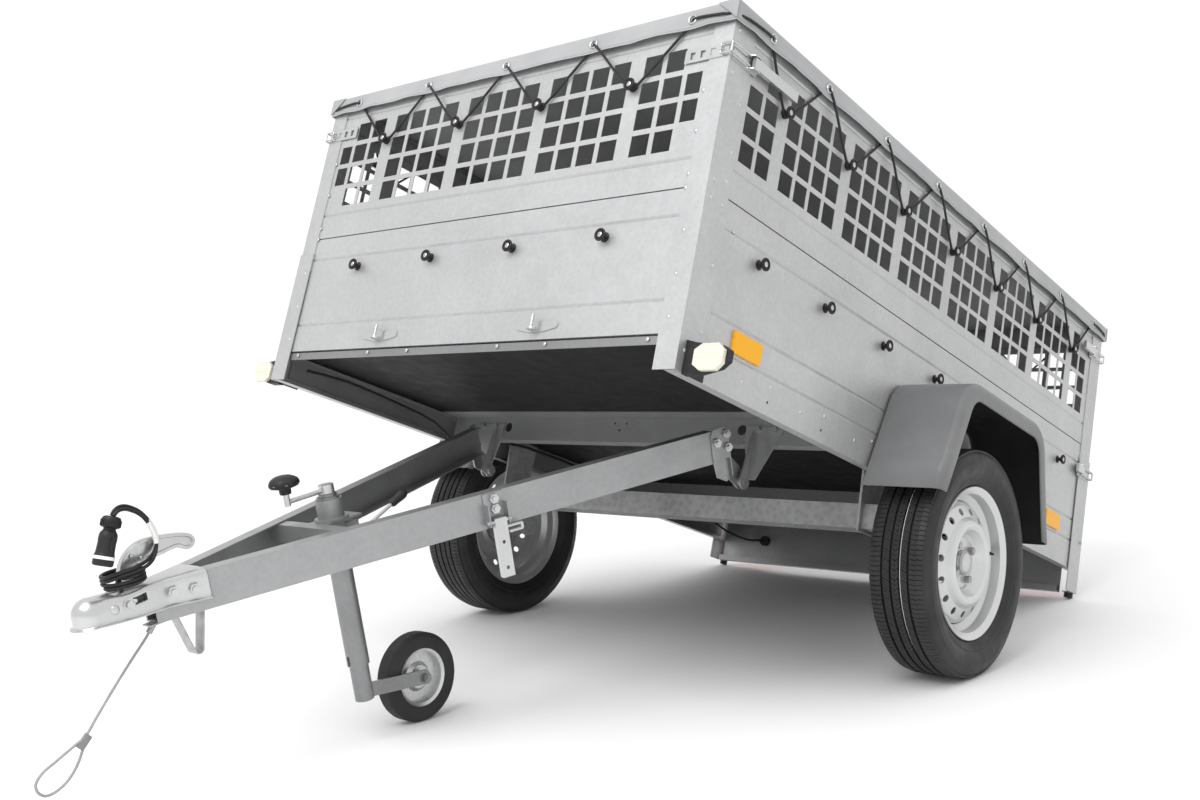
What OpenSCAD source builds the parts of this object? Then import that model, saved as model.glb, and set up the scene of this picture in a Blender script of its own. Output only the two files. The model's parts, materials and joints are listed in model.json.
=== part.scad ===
// Single-axle tipping utility trailer: a sheet-metal box with mesh sides and a flat cover on a torsion axle,
// with a V drawbar that folds about a hinge under the box.
// The box is drawn level in its own axes: X across, Y to the rear from the front face, Z up from the lower
// edge of the side panels. It is then tipped about X. The drawbar is drawn in the same level axes, as if
// driving, and is folded down about the tip hinge before the box is tipped.

/* [Box] */
// Outside width across the corner posts
box_w = 1328; // [1320:1:1340]
// Outside length over the corner posts
box_l = 2100; // [2096:1:2110]
// Height of the seam between the plain panels and the mesh panels
seam_z = 386; // [384:1:390]
// Height of the top of the mesh panels
top_z = 787; // [785:1:795]
// Height of the underside of the floor board
floor_z = 74; // [74:1:76]
// Thickness of the floor board
floor_t = 9; // [6:1:12]
// Sheet thickness of the panels
sheet_t = 1.5; // [1.2:0.1:1.8]
// Sheet thickness of the corner posts
post_t = 2.5; // [2:0.1:2.5]
// Width of a post's flange on the side
post_side = 80; // [70:1:84]
// Width of a post's flange on the front
post_front = 56; // [50:1:60]
// Height of the lower posts
lower_post_z = 345; // [340:1:350]

/* [Mesh] */
// Side of a square hole
hole = 49; // [40:1:50]
// Spacing of the rows and columns of holes
pitch = 61.5; // [58:0.5:62]
// Spacing of the groups of holes on the front and rear panels
group_x = 275; // [272:1:276]
// Spacing of the groups of holes on the side panels
group_y = 273; // [272:1:275]
// Height of the lowest row of holes
row_z = 475; // [470:1:478]

/* [Running gear] */
// Tyre radius
tyre_r = 273.5; // [270:0.5:276]
// Tyre width
tyre_w = 157; // [150:1:160]
// Radius of the rim flange
rim_r = 182.5; // [180:0.5:184]
// Distance from the middle of the trailer to the middle of a tyre
wheel_x = 762; // [760:1:770]
// Wheel centre behind the front face
wheel_y = 1041; // [1030:1:1050]
// Wheel centre above the lower edge of the side panels
wheel_z = -165.5; // [-170:0.5:-160]
// Axle tube centre behind the front face
axle_y = 900; // [895:1:905]
// Axle tube centre height
axle_z = -100; // [-102:1:-98]
// Outside size of the square axle tube
axle_tube = 60; // [60:1:60]

/* [Drawbar] */
// Tip hinge behind the front face
hinge_y = 605; // [603:1:607]
// Tip hinge height
hinge_z = -85; // [-87:1:-83]
// Half width across the arms at their front end
arm_front_x = 20; // [19:0.5:21]
// Front end of the arms
arm_front_y = -691; // [-695:1:-688]
// Rear end of the arms
arm_rear_y = 546; // [540:1:548]
// Half width across the arms at their rear end
arm_rear_x = 410; // [408:1:412]
// Top of the arms
arm_top = 50; // [49:0.5:51]
// Height of the arm channel
arm_h = 76; // [74:1:80]
// Middle of the tow ball socket along the drawbar
ball_y = -806; // [-810:1:-802]
// Middle of the tow ball socket above the side panels' lower edge
ball_z = 30; // [29:0.5:31]
// Jockey wheel tube behind the front face
jockey_y = -254; // [-256:1:-252]
// Radius of the jockey wheel
jockey_r = 100; // [98:1:102]

/* [Stance] */
// Angle by which the box is tipped, front up
tip = 19.4; // [19:0.1:20]
// Angle of the drawbar to the box at the tipped stop
fold = 28.6; // [28:0.1:29]

/* [Hidden] */

ZINC = [0.74, 0.75, 0.76];
DARK_ZINC = [0.55, 0.56, 0.58];
RUBBER = [0.06, 0.06, 0.06];
PLASTIC = [0.22, 0.22, 0.23];

round_fn = 64;
pitch_down = fold - tip;
ground_z = tyre_r + wheel_y * sin(tip) - wheel_z * cos(tip);
cover_out = 6;
cover_top = top_z + 5;
nose_y = ball_y - 36;
hinge_world_y = hinge_y * cos(tip) + hinge_z * sin(tip);
hinge_world_z = ground_z - hinge_y * sin(tip) + hinge_z * cos(tip);
front_world_y = hinge_world_y + (nose_y - hinge_y) * cos(pitch_down) - (14 - hinge_z) * sin(pitch_down);
rear_world_y = (box_l + cover_out) * cos(tip) + cover_top * sin(tip);
mid_y = (front_world_y + rear_world_y) / 2;

post_x = box_w / 2;
upper_x = post_x - post_t - 0.1;
face_x = upper_x - post_t - 0.1;
face_y = post_x - face_x;
rear_y = box_l - face_y;
flange = 26;
end_x = face_x - flange - 0.8;
fold_z = floor_z + floor_t;
grooves = [147, 327];
mesh_groove_z = 452;
mesh_swage_z = 733;
groove_half = 4;
groove_depth = 2.5;

foot_y = box_l - 14;
foot_r = 13;
foot_z = ((foot_y + foot_r) * sin(tip) - ground_z) / cos(tip);
foot_h = 14;

arm_slope = (arm_rear_x - arm_front_x) / (arm_rear_y - arm_front_y);
arm_angle = atan(arm_slope);
arm_bottom = arm_top - arm_h;
arm_t = 3;
arm_flange = 32;
arm_len = (arm_rear_y - arm_front_y) / cos(arm_angle);

jockey_wheel_y = -80;
jockey_wheel_x = -34;
jockey_wheel_z = hinge_z
  + (jockey_r - hinge_world_z - (jockey_wheel_y - hinge_y) * sin(pitch_down)) / cos(pitch_down);
tube_r = 24;
tube_top = 97;
tube_bottom = -273;
leg_r = 20.5;

gate_hinge_y = 2088;
gate_hinge_z = 88;
gate_pin_r = 5;

knob_xs = [-1.5 * group_x, -0.5 * group_x, 0.5 * group_x, 1.5 * group_x];
knob_ys = [for (k = [0:6]) 221 + k * group_y];
knob_low_z = 296;
knob_high_z = 642;
eyelet_z = 768;

// ---- lists, outlines and sweeps ----
function reverse(v) = [for (i = [len(v) - 1:-1:0]) v[i]];
function flat(v) = [for (a = v) for (b = a) b];
function unit(v) = v / norm(v);
function left(v) = [-v[1], v[0]];
function arc(c, r, a0, a1, n) = [for (i = [0:n]) c + r * [cos(a0 + (a1 - a0) * i / n), sin(a0 + (a1 - a0) * i / n)]];
// The line beside an open polyline, t to its left, with mitred corners.
function beside(p, t) = [
  for (i = [0:len(p) - 1])
    let (a = unit(i > 0 ? p[i] - p[i - 1] : p[1] - p[0]),
         b = unit(i < len(p) - 1 ? p[i + 1] - p[i] : p[i] - p[i - 1]),
         m = left(a) + left(b))
      p[i] + t * m / (m * left(a))
];
// A swaged groove that dips into the sheet at height z on a face at distance x.
function groove(x, z, side) = [
  [x, z - groove_half], [x - side * groove_depth, z], [x, z + groove_half]
];

module strip(p, t) {
  polygon(concat(p, reverse(beside(p, t))));
}

// Extrudes an (x, z) outline along Y.
module along_y(y0, y1) {
  translate([0, y1, 0]) rotate([90, 0, 0]) linear_extrude(y1 - y0) children();
}

// Extrudes a (y, z) outline along X.
module along_x(x0, x1) {
  translate([x0, 0, 0]) rotate([90, 0, 90]) linear_extrude(x1 - x0) children();
}

module both() {
  children();
  mirror([1, 0, 0]) children();
}

module rod_x(x0, x1, y, z, r) {
  translate([x0, y, z]) rotate([0, 90, 0]) cylinder(h = x1 - x0, r = r, $fn = round_fn);
}

module rod_y(y0, y1, x, z, r) {
  translate([x, y0, z]) rotate([-90, 0, 0]) cylinder(h = y1 - y0, r = r, $fn = round_fn);
}

module rod_z(z0, z1, x, y, r) {
  translate([x, y, z0]) cylinder(h = z1 - z0, r = r, $fn = round_fn);
}

module box_at(x0, x1, y0, y1, z0, z1) {
  translate([x0, y0, z0]) cube([x1 - x0, y1 - y0, z1 - z0]);
}

module hex_x(x0, x1, y, z, across) {
  translate([x0, y, z]) rotate([0, 90, 0]) cylinder(h = x1 - x0, d = across / cos(30), $fn = 6);
}

// A round tube swept along points, with its rings kept square to the path.
function tangent(p, i) = unit(p[min(i + 1, len(p) - 1)] - p[max(i - 1, 0)]);
function turned(n, t) = unit(n - (n * t) * t);
function frames(p, i, n) = i >= len(p) ? [] : let (m = turned(n, tangent(p, i))) concat([m], frames(p, i + 1, m));
module tube(p, d, sides) {
  first = turned(abs(tangent(p, 0)[2]) < 0.9 ? [0, 0, 1] : [1, 0, 0], tangent(p, 0));
  normals = frames(p, 0, first);
  rings = [
    for (i = [0:len(p) - 1])
      for (k = [0:sides - 1])
        let (n = normals[i], b = cross(tangent(p, i), n), a = 360 * k / sides)
          p[i] + d / 2 * (cos(a) * n + sin(a) * b)
  ];
  last = (len(p) - 1) * sides;
  faces = concat(
    [[for (k = [0:sides - 1]) k]],
    [
      for (i = [0:len(p) - 2])
        for (k = [0:sides - 1])
          let (a = i * sides, j = (k + 1) % sides) [a + k, a + sides + k, a + sides + j, a + j]
    ],
    [[for (k = [sides - 1:-1:0]) last + k]]
  );
  polyhedron(rings, faces, convexity = 4);
}

// Points of a smooth curve through a route, n to each span.
function blend4(a, b, c, d, t) =
  0.5 * (2 * b + (c - a) * t + (2 * a - 5 * b + 4 * c - d) * t * t + (3 * b - a - 3 * c + d) * t * t * t);
function smooth(p, n) = concat(
  [
    for (i = [0:len(p) - 2])
      for (k = [0:n - 1])
        blend4(p[max(i - 1, 0)], p[i], p[i + 1], p[min(i + 2, len(p) - 1)], k / n)
  ],
  [p[len(p) - 1]]
);

// ---- places ----
module on_box() {
  translate([0, -mid_y, ground_z]) rotate([-tip, 0, 0]) children();
}

module on_drawbar() {
  on_box() translate([0, hinge_y, hinge_z]) rotate([fold, 0, 0]) translate([0, -hinge_y, -hinge_z]) children();
}

// The outside of the right arm's web: X runs rearward along the arm, Y outward, Z up, from its front end.
module on_arm() {
  translate([arm_front_x, arm_front_y, 0]) rotate([0, 0, 90 - arm_angle]) mirror([0, 1, 0]) children();
}

// ---- box ----
module floor_board() {
  color("dimgray") on_box() box_at(-652, 652, 32, 2062, floor_z, fold_z);
}

function panel_side(z0, z1, marks) = concat(
  [[face_x - flange, z0], [face_x, z0]],
  flat([for (z = marks) groove(face_x, z, 1)]),
  [[face_x, z1], [face_x - flange, z1]]
);

function panel_end(z0, z1, marks) = concat(
  [[face_y + flange, z1], [face_y, z1]],
  flat([for (z = reverse(marks)) reverse(groove(face_y, z, -1))]),
  [[face_y, z0], [face_y + flange, z0]]
);

module side_panels() {
  color(ZINC) on_box() both() difference() {
    along_y(6, box_l - 6) strip(panel_side(0, seam_z - 1.5, concat([fold_z], grooves)), sheet_t);
    rod_x(face_x - 6, face_x + 6, gate_hinge_y, gate_hinge_z, gate_pin_r + 2);
    for (y = [330, 552]) rod_x(face_x - 6, face_x + 6, y, 28, 3.25);
  }
}

module front_panel() {
  color(ZINC) on_box() along_x(-end_x, end_x) strip(panel_end(floor_z + 2, seam_z - 1.5, grooves), sheet_t);
}

// One group of square holes in a plane: columns along X, rows along Y of the outline.
module holes(start, columns, rows) {
  for (c = columns) for (r = rows) translate([start + c * pitch, row_z + r * pitch]) square(hole);
}

module end_mesh_holes() {
  first = -(3 * pitch + hole) / 2;
  for (g = [-1:1]) holes(first + g * group_x, [0:3], [0:3]);
  for (s = [0, 1]) mirror([s, 0]) {
    holes(first + 2 * group_x, [0:1], [0:3]);
    translate([first + 2 * group_x + 2 * pitch, row_z + pitch]) square([40, hole]);
    translate([first + 2 * group_x + 2 * pitch, row_z + 2 * pitch]) square([40, hole]);
  }
}

module side_mesh_holes() {
  first = 242;
  side_pitch = 60.5;
  for (g = [0:5]) for (c = [0:3]) for (r = [0:3])
    translate([first + g * group_y + c * side_pitch, row_z + r * pitch]) square(hole);
  for (r = [0:3]) {
    translate([first - group_y + 3 * side_pitch, row_z + r * pitch]) square(hole);
    translate([first + 6 * group_y, row_z + r * pitch]) square(hole);
  }
  for (r = [0:2]) {
    translate([first - group_y + 2 * side_pitch, row_z + r * pitch]) square(hole);
    translate([first + 6 * group_y + side_pitch, row_z + r * pitch]) square(hole);
  }
}

module mesh_panels() {
  marks = [mesh_groove_z, mesh_swage_z];
  color(ZINC) on_box() {
    both() difference() {
      along_y(6, box_l - 6) strip(panel_side(seam_z + 1.5, top_z, marks), sheet_t);
      along_x(face_x - 5, face_x + 5) side_mesh_holes();
    }
    for (s = [0, 1]) translate([0, s * box_l, 0]) mirror([0, s, 0]) difference() {
      along_x(-end_x, end_x) strip(panel_end(seam_z + 1.5, top_z, marks), sheet_t);
      along_y(face_y - 5, face_y + 5) end_mesh_holes();
    }
  }
}

module lower_posts() {
  color(ZINC) on_box() both() {
    linear_extrude(lower_post_z) difference() {
      translate([post_x - post_front, 0]) square([post_front, post_side]);
      translate([post_x - post_front - 1, post_t]) square([post_front + 1 - post_t, post_side]);
    }
    difference() {
      translate([0, 0, foot_z + foot_h]) linear_extrude(lower_post_z - foot_z - foot_h) difference() {
        translate([post_x - 30, box_l - post_side]) square([30, post_side]);
        translate([post_x - 31, box_l - post_side - 1]) square([31 - post_t, post_side + 1 - post_t]);
      }
      rod_x(post_x - 5, post_x + 1, gate_hinge_y, gate_hinge_z, gate_pin_r + 0.05);
    }
    box_at(post_x - 30, post_x - post_t, box_l - 34, box_l - post_t, foot_z + foot_h, foot_z + foot_h + 3);
  }
}

module upper_posts() {
  z0 = 300;
  inner = post_t + 0.1;
  color(ZINC) on_box() both() {
    translate([0, 0, z0]) linear_extrude(top_z - z0) difference() {
      translate([upper_x - 52, inner]) square([52, post_side - 4]);
      translate([upper_x - 53, inner + post_t]) square([53 - post_t, post_side]);
    }
    translate([0, 0, z0]) linear_extrude(top_z - z0) difference() {
      translate([upper_x - 28, box_l - post_side + 4]) square([28, post_side - 4 - inner]);
      translate([upper_x - 29, box_l - post_side]) square([29 - post_t, post_side - inner - post_t]);
    }
  }
}

member_t = 2.5;
front_member_y = 622;
rear_member_y = 1420;
module underframe() {
  top = floor_z - 0.1;
  color(DARK_ZINC) on_box() {
    difference() {
      along_x(-618, 618)
        strip([[front_member_y + 36, 10], [front_member_y, 10], [front_member_y, top], [562, top]], member_t);
      both() rod_y(front_member_y - 6, front_member_y + 3, 397, 44, 13);
      for (x = [-8, 32, 12]) rod_y(front_member_y - 6, front_member_y + 3, x, x == 12 ? 40 : 58, 3.2);
    }
    along_x(-618, 618) strip([[1480, top], [rear_member_y, top], [rear_member_y, 10], [1384, 10]], member_t);
    along_x(-640, 640) strip([[42, top - 2], [8, top - 2], [8, 54]], 2);
    both() {
      along_y(44, 2050) strip([[654, 15], [654, top - 2.1], [620, top - 2.1]], 2);
    }
  }
}

module hinge_brackets() {
  front = front_member_y - member_t;
  color(ZINC) on_box() both() {
    difference() {
      union() {
        along_y(front - 4, front) polygon([[412, 52], [522, 52], [458, -78], [cheek_x, -78], [412, 20]]);
        along_x(cheek_x, cheek_x + 4)
          polygon(concat([[front, 40], [front - 12, 40]], arc([hinge_y, hinge_z], 19, 180, 360, 16), [[front, -78]]));
      }
      rod_x(cheek_x - 1, cheek_x + 5, hinge_y, hinge_z, 8.05);
    }
    for (x = [446, 494]) translate([x, front - 4, 44]) rotate([90, 0, 0]) cylinder(h = 6, d = 17, $fn = 6);
  }
}

// ---- axle and wheels ----
beam_end = 645;
hanger_x = 604;
module axle_beam() {
  half = axle_tube / 2;
  under = floor_z - 4.2;
  color(ZINC) on_box() {
    difference() {
      box_at(-beam_end, beam_end, axle_y - half, axle_y + half, axle_z - half, axle_z + half);
      box_at(-beam_end - 1, beam_end + 1, axle_y - half + 4, axle_y + half - 4, axle_z - half + 4, axle_z + half - 4);
    }
    both() {
      along_x(hanger_x, hanger_x + 6) difference() {
        polygon([[842, under], [958, under], [944, axle_z - half - 8], [856, axle_z - half - 8]]);
        translate([axle_y - half + 1, axle_z - half + 1]) square(axle_tube - 2);
      }
      box_at(hanger_x, 648, 846, 954, under - 4, under);
      for (y = [862, 938]) rod_z(under - 10, under - 3, 630, y, 8);
    }
  }
}

module torsion_arm() {
  inner = beam_end + 1;
  dy = wheel_y - axle_y;
  dz = wheel_z - axle_z;
  side = 25 * [-dz, dy] / norm([dy, dz]);
  color(DARK_ZINC) {
    along_x(inner, inner + 26) {
      translate([axle_y, axle_z]) circle(r = 30, $fn = round_fn);
      translate([wheel_y, wheel_z]) circle(r = 27, $fn = round_fn);
      polygon([
        [axle_y, axle_z] + side, [axle_y, axle_z] - side, [wheel_y, wheel_z] - side, [wheel_y, wheel_z] + side
      ]);
    }
    rod_x(inner - 130, inner, axle_y, axle_z, 19);
    rod_x(inner + 26, wheel_x + 36, wheel_y, wheel_z, 17.5);
  }
}
module torsion_arm_left() {
  on_box() mirror([1, 0, 0]) torsion_arm();
}
module torsion_arm_right() {
  on_box() torsion_arm();
}

// Turns a profile of (radius, distance across) about the wheel's own axis.
module wheel_turn(fn) {
  rotate([0, 90, 0]) rotate_extrude($fn = fn) children();
}

disc_x = 30;
module hub() {
  color(ZINC) difference() {
    union() {
      wheel_turn(round_fn) polygon([
        [0, -54], [34, -54], [34, 12], [60, 12], [60, disc_x - 3], [29, disc_x - 3], [29, 40], [24, 44], [0, 44]
      ]);
      for (a = [45:90:315]) rotate([a, 0, 0]) translate([disc_x - 6, 0, 49]) rotate([0, 90, 0]) {
        cylinder(h = 6, r = 6, $fn = 32);
        translate([0, 0, 6]) cylinder(h = 12, d = 19, $fn = 6);
      }
    }
    rotate([0, 90, 0]) translate([0, 0, -55]) cylinder(h = 55 + 37, r = 17.55, $fn = round_fn);
  }
}

module rim() {
  flange_x = 62;
  color(ZINC) difference() {
    union() {
      wheel_turn(128) strip([
        [rim_r, flange_x], [rim_r - 8, flange_x - 4], [rim_r - 16, flange_x - 9], [rim_r - 18, 30],
        [rim_r - 34, 18], [rim_r - 34, -18], [rim_r - 18, -30], [rim_r - 16, 9 - flange_x],
        [rim_r - 8, 4 - flange_x], [rim_r, -flange_x]
      ], 3);
      wheel_turn(128) strip([
        [rim_r - 32.5, 0], [146, 20], [138, 31], [122, 39], [110, 44], [102, 54], [96, 58], [88, 59], [80, 55],
        [68, 37], [60, disc_x], [30, disc_x]
      ], 3);
    }
    for (a = [45:90:315]) rotate([a, 0, 0]) translate([0, 0, 49]) rotate([0, 90, 0]) {
      translate([0, 0, disc_x - 6]) cylinder(h = 12, r = 6.5, $fn = 32);
    }
    for (a = [0:24:336]) rotate([a, 0, 0]) translate([20, 0, 123]) rotate([0, 90, 0]) cylinder(h = 40, r = 8.5, $fn = 24);
  }
}

module tyre() {
  half = tyre_w / 2;
  bead = rim_r - 12.6;
  outer = concat(
    [[bead, 48], [rim_r - 6, 52], [rim_r + 4, 58], [rim_r + 14, 66]],
    [[rim_r + 34, half - 1], [rim_r + 50, half], [rim_r + 66, half - 3]],
    [[tyre_r - 9, 67], [tyre_r - 3, 58], [tyre_r - 0.5, 40]]
  );
  tread = flat([for (x = [33, 11, -11, -33]) [
    [tyre_r, x + 3], [tyre_r - 7, x + 2], [tyre_r - 7, x - 2], [tyre_r, x - 3]
  ]]);
  lower = [for (p = reverse(outer)) [p[0], -p[1]]];
  inside = [[bead, -40], [rim_r + 12, -54], [rim_r + 50, -70], [tyre_r - 16, -58], [tyre_r - 13, 0]];
  upper_inside = [for (i = [3:-1:0]) [inside[i][0], -inside[i][1]]];
  color(RUBBER) wheel_turn(96) polygon(concat(outer, tread, lower, inside, upper_inside));
}

module on_wheel(s) {
  on_box() translate([s * wheel_x, wheel_y, wheel_z]) mirror([s < 0 ? 1 : 0, 0, 0]) children();
}
module hub_left() {
  on_wheel(-1) hub();
}
module hub_right() {
  on_wheel(1) hub();
}
module rim_left() {
  on_wheel(-1) rim();
}
module rim_right() {
  on_wheel(1) rim();
}
module tyre_left() {
  on_wheel(-1) tyre();
}
module tyre_right() {
  on_wheel(1) tyre();
}

// ---- mudguards and lights ----
function guard_line(inset) = concat(
  [[742 + inset, -50]],
  arc([905, 145], 92 - inset, 160, 90, 8),
  arc([1213, 145], 92 - inset, 90, 20, 8),
  [[1378 - inset, -50]]
);
module mudguards() {
  t = 3;
  outer_x = 862;
  color(PLASTIC) on_box() both() {
    along_x(post_x + 0.5, outer_x) polygon(concat(guard_line(0), reverse(guard_line(t))));
    along_x(outer_x - t, outer_x) polygon(concat(guard_line(t), reverse(guard_line(44))));
    along_x(post_x + 0.5, post_x + 0.5 + t) polygon(concat(guard_line(t), reverse(guard_line(24))));
  }
}

panel_y = 2055;
module light_panel() {
  color(DARK_ZINC) on_box() difference() {
    union() {
      along_x(-630, 630) strip([[panel_y - 26, -56], [panel_y - 26, -74], [panel_y, -74], [panel_y, floor_z - 0.2]], 2);
    }
    rod_y(panel_y - 4, panel_y + 2, -455, 10, 9);
  }
}

module rear_lamps() {
  color("firebrick") on_box() both() {
    box_at(430, 600, panel_y + 0.2, panel_y + 34, -52, 42);
  }
}

module marker_arms() {
  color(RUBBER) on_box() both() {
    along_y(22, 40) polygon([[post_x + 0.2, -4], [700, -4], [752, 8], [768, 22], [768, 44], [756, 52], [690, 60], [post_x + 0.2, 66]]);
    box_at(post_x + 0.2, post_x + 5, 22, 88, -2, 64);
  }
}

module marker_lenses() {
  color("ivory") on_box() both() {
    along_y(12, 21.8) polygon([[694, 12], [712, 0], [750, 0], [764, 14], [764, 42], [750, 54], [712, 54], [694, 42]]);
  }
}

module side_reflectors() {
  color("orange") on_box() both() {
    for (y = [172, 1812]) box_at(face_x + 0.2, face_x + 7, y, y + 100, 90, 136);
  }
}

module rear_feet() {
  color(RUBBER) on_box() both() rod_z(foot_z, foot_z + foot_h - 0.1, post_x - 18, foot_y, foot_r);
}

// ---- cover and its fittings ----
module knob() {
  rotate_extrude($fn = 32) polygon([
    [0, 0.3], [7, 0.3], [7, 3], [5, 5], [5, 9], [9, 12], [10, 16], [8, 19], [4, 19], [4, 17], [0, 17]
  ]);
}
module cover_knobs() {
  color(RUBBER) on_box() {
    both() for (y = knob_ys) for (z = [knob_low_z, knob_high_z]) translate([face_x, y, z]) rotate([0, 90, 0]) knob();
    for (x = knob_xs) for (z = [knob_low_z, knob_high_z]) translate([x, face_y, z]) rotate([90, 0, 0]) knob();
    for (x = knob_xs) translate([x, rear_y, knob_high_z]) rotate([-90, 0, 0]) knob();
  }
}

skirt_z = 746;
cover_t = 2.5;
module cover() {
  x = post_x + cover_out;
  color("slategray") on_box() difference() {
    box_at(-x, x, -cover_out, box_l + cover_out, skirt_z, cover_top);
    box_at(cover_t - x, x - cover_t, cover_t - cover_out, box_l + cover_out - cover_t, skirt_z - 1, top_z + 1.5);
    for (y = lace_ys) rod_x(-x - 1, x + 1, y, eyelet_z - 2, 6);
    for (k = lace_xs) rod_y(-cover_out - 1, box_l + cover_out + 1, k, eyelet_z - 2, 6);
  }
}

// The lacing comes out through an eyelet, down over the hem, round a knob's neck, up inside the skirt to the
// next eyelet, and round the corners outside the skirt. Its points are (along, inward from the box's side, z).
lace_d = 6;
lace_in = -0.2;
lace_neck = -1;
lace_out = -cover_out - 5;
lace_xs = [for (k = [-2:2]) k * 277];
lace_ys = concat([125], [for (k = [1:6]) 84.5 + k * group_y], [1990]);
function outward(u) = [[u - 5, lace_in, eyelet_z - 5], [u + 4, lace_out, eyelet_z]];
function around(u) = [[u - 8, lace_neck, knob_high_z - 8.2], [u + 8, lace_neck, knob_high_z - 8.2]];
function lace_run(eyes, knobs) = concat(
  [[eyes[0] - 4, lace_out, eyelet_z], [eyes[0] + 5, lace_in, eyelet_z - 5]],
  flat([for (i = [0:len(knobs) - 1]) concat(around(knobs[i]), outward(eyes[i + 1]))])
);
function lace_front() = lace_run(lace_xs, knob_xs);
function lace_side() = [for (p = lace_run(lace_ys, knob_ys)) [post_x - p[1], p[0], p[2]]];
function flipped_x(v) = [for (p = v) [-p[0], p[1], p[2]]];
function flipped_y(v) = [for (p = v) [p[0], box_l - p[1], p[2]]];
module lacing_cord() {
  corner = [post_x - lace_out, lace_out, 757];
  loop = concat(
    lace_front(), [corner], lace_side(), flipped_y([corner]),
    reverse(flipped_y(lace_front())), flipped_y(flipped_x([corner])), reverse(flipped_x(lace_side())),
    flipped_x([corner]), [[-566, lace_out, eyelet_z - 2]]
  );
  color(RUBBER) on_box() tube(loop, lace_d, 6);
}

// Underside wiring: along the left rail, down to the light panel's connector and across behind the front member.
loom_route = [
  [-600, 60, 40], [-606, 200, 52], [-606, 400, 44], [-600, 520, 30], [-592, 590, -2], [-590, 660, -4],
  [-588, 740, 30], [-590, 900, 54], [-590, 1200, 50], [-590, 1330, 20], [-590, 1380, -6], [-590, 1450, -6],
  [-588, 1520, 30], [-580, 1800, 50], [-560, 1950, 20], [-500, 2000, 2], [-470, 2020, 6], [-455, 2044, 10]
];
module wiring_loom() {
  color(RUBBER) on_box() {
    tube(smooth(loom_route, 2), 8, 8);
    rod_y(2044, 2052.8, -455, 10, 18);
  }
}

// ---- latches on the box ----
module tip_catches() {
  color(ZINC) on_box() both() translate([262.5, 0, 108]) {
    along_y(face_y - 2.7, face_y - 0.2) {
      polygon(concat(arc([-55, 0], 9, 90, 270, 8), [[-20, -16], [20, -16]], arc([55, 0], 9, -90, 90, 8), [[24, 8], [-24, 8]]));
    }
    rod_z(-14, -9, 0, face_y - 12, 12);
    box_at(-12, 12, face_y - 12, face_y - 2.7, -14, -9);
    rod_z(-9, 20, 0, face_y - 16, 4);
  }
}

toggle_z = 684;
gate_toggle_z = 302;
toggle_pin_x = 10;
toggle_pin_y = 78;
// Base with its two ears on the side: X outward from the post, Y along the box from the corner.
module toggle_plate() {
  box_at(0, 2, 10, 96, -20, 20);
  for (z = [-16, 13.5]) translate([0, 0, z]) linear_extrude(2.5) difference() {
    polygon([[1, 60], [1, 94], [15, 90], [17, toggle_pin_y], [15, 67]]);
    translate([toggle_pin_x, toggle_pin_y]) circle(r = 3.05, $fn = 32);
  }
}
// The pierced strike on the end of the box.
module toggle_strike() {
  reach = 112;
  difference() {
    box_at(-reach, 0, -2, 0, -15, 15);
    for (i = [0:2]) box_at(-reach + 14 + i * 26, -reach + 26 + i * 26, -3, 1, -8, 8);
  }
}
// The hoop from the lever round the corner to a hook on the strike.
module hoop(reach, strike_face, tip_x) {
  for (z = [-11, 11]) {
    rod_y(-5, reach, 8, z, 2);
    rod_x(tip_x, 8, -5, z, 2);
  }
  rod_z(-11, 11, tip_x, -5, 2);
  rod_z(-11, 11, 8, -5, 2);
  box_at(tip_x - 3, tip_x + 3, -8, strike_face + 0.5, -5, 5);
}
module latch_plates() {
  color(ZINC) on_box() both() {
    for (s = [0, 1]) translate([upper_x + 0.1, s * box_l, toggle_z]) mirror([0, s, 0]) {
      toggle_plate();
      translate([-4, post_t, 0]) toggle_strike();
      hoop(62, 1, -20);
    }
    translate([post_x + 0.1, box_l, gate_toggle_z]) mirror([0, 1, 0]) toggle_plate();
  }
}

// The over-centre lever: a channel with its pin in the ears and a long grip.
module toggle_lever(grip) {
  rod_z(-16, 16, toggle_pin_x, toggle_pin_y, 3);
  difference() {
    box_at(6.5, 15, 72, grip, -12, 12);
    box_at(4, 13, 84, grip - 4, -10, 10);
  }
}
module upper_latch(side, end, grip) {
  color(ZINC) on_box() mirror([side, 0, 0]) translate([upper_x + 0.1, end * box_l, toggle_z]) mirror([0, end, 0])
    toggle_lever(grip);
}
module front_latch_left() {
  upper_latch(1, 0, 238);
}
module front_latch_right() {
  upper_latch(0, 0, 238);
}
module rear_latch_left() {
  upper_latch(1, 1, 160);
}
module rear_latch_right() {
  upper_latch(0, 1, 160);
}
module gate_latch(side) {
  color(ZINC) on_box() mirror([side, 0, 0]) translate([post_x + 0.1, box_l, gate_toggle_z]) mirror([0, 1, 0])
    toggle_lever(120);
}
module tailgate_latch_left() {
  gate_latch(1);
}
module tailgate_latch_right() {
  gate_latch(0);
}

// ---- tailgate ----
module tailgate_panel() {
  x = end_x - 2;
  face = box_l - 2;
  line = [for (p = panel_end(floor_z + 4, seam_z - 3, grooves)) [face + face_y - p[0], p[1]]];
  color(ZINC) on_box() {
    along_x(-x, x) strip(reverse(line), sheet_t);
    both() {
      along_x(x - 3, x) polygon([[face - 24, floor_z + 6], [face - 2, floor_z + 6], [face - 2, seam_z - 6], [face - 24, seam_z - 6]]);
      rod_x(x - 1, post_x + 4, gate_hinge_y, gate_hinge_z, gate_pin_r);
      translate([post_x + 0.1, box_l, gate_toggle_z]) mirror([0, 1, 0]) {
        translate([x - post_x, 2.2, 0]) toggle_strike();
        hoop(55, 0.5, -40);
      }
    }
  }
}

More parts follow.
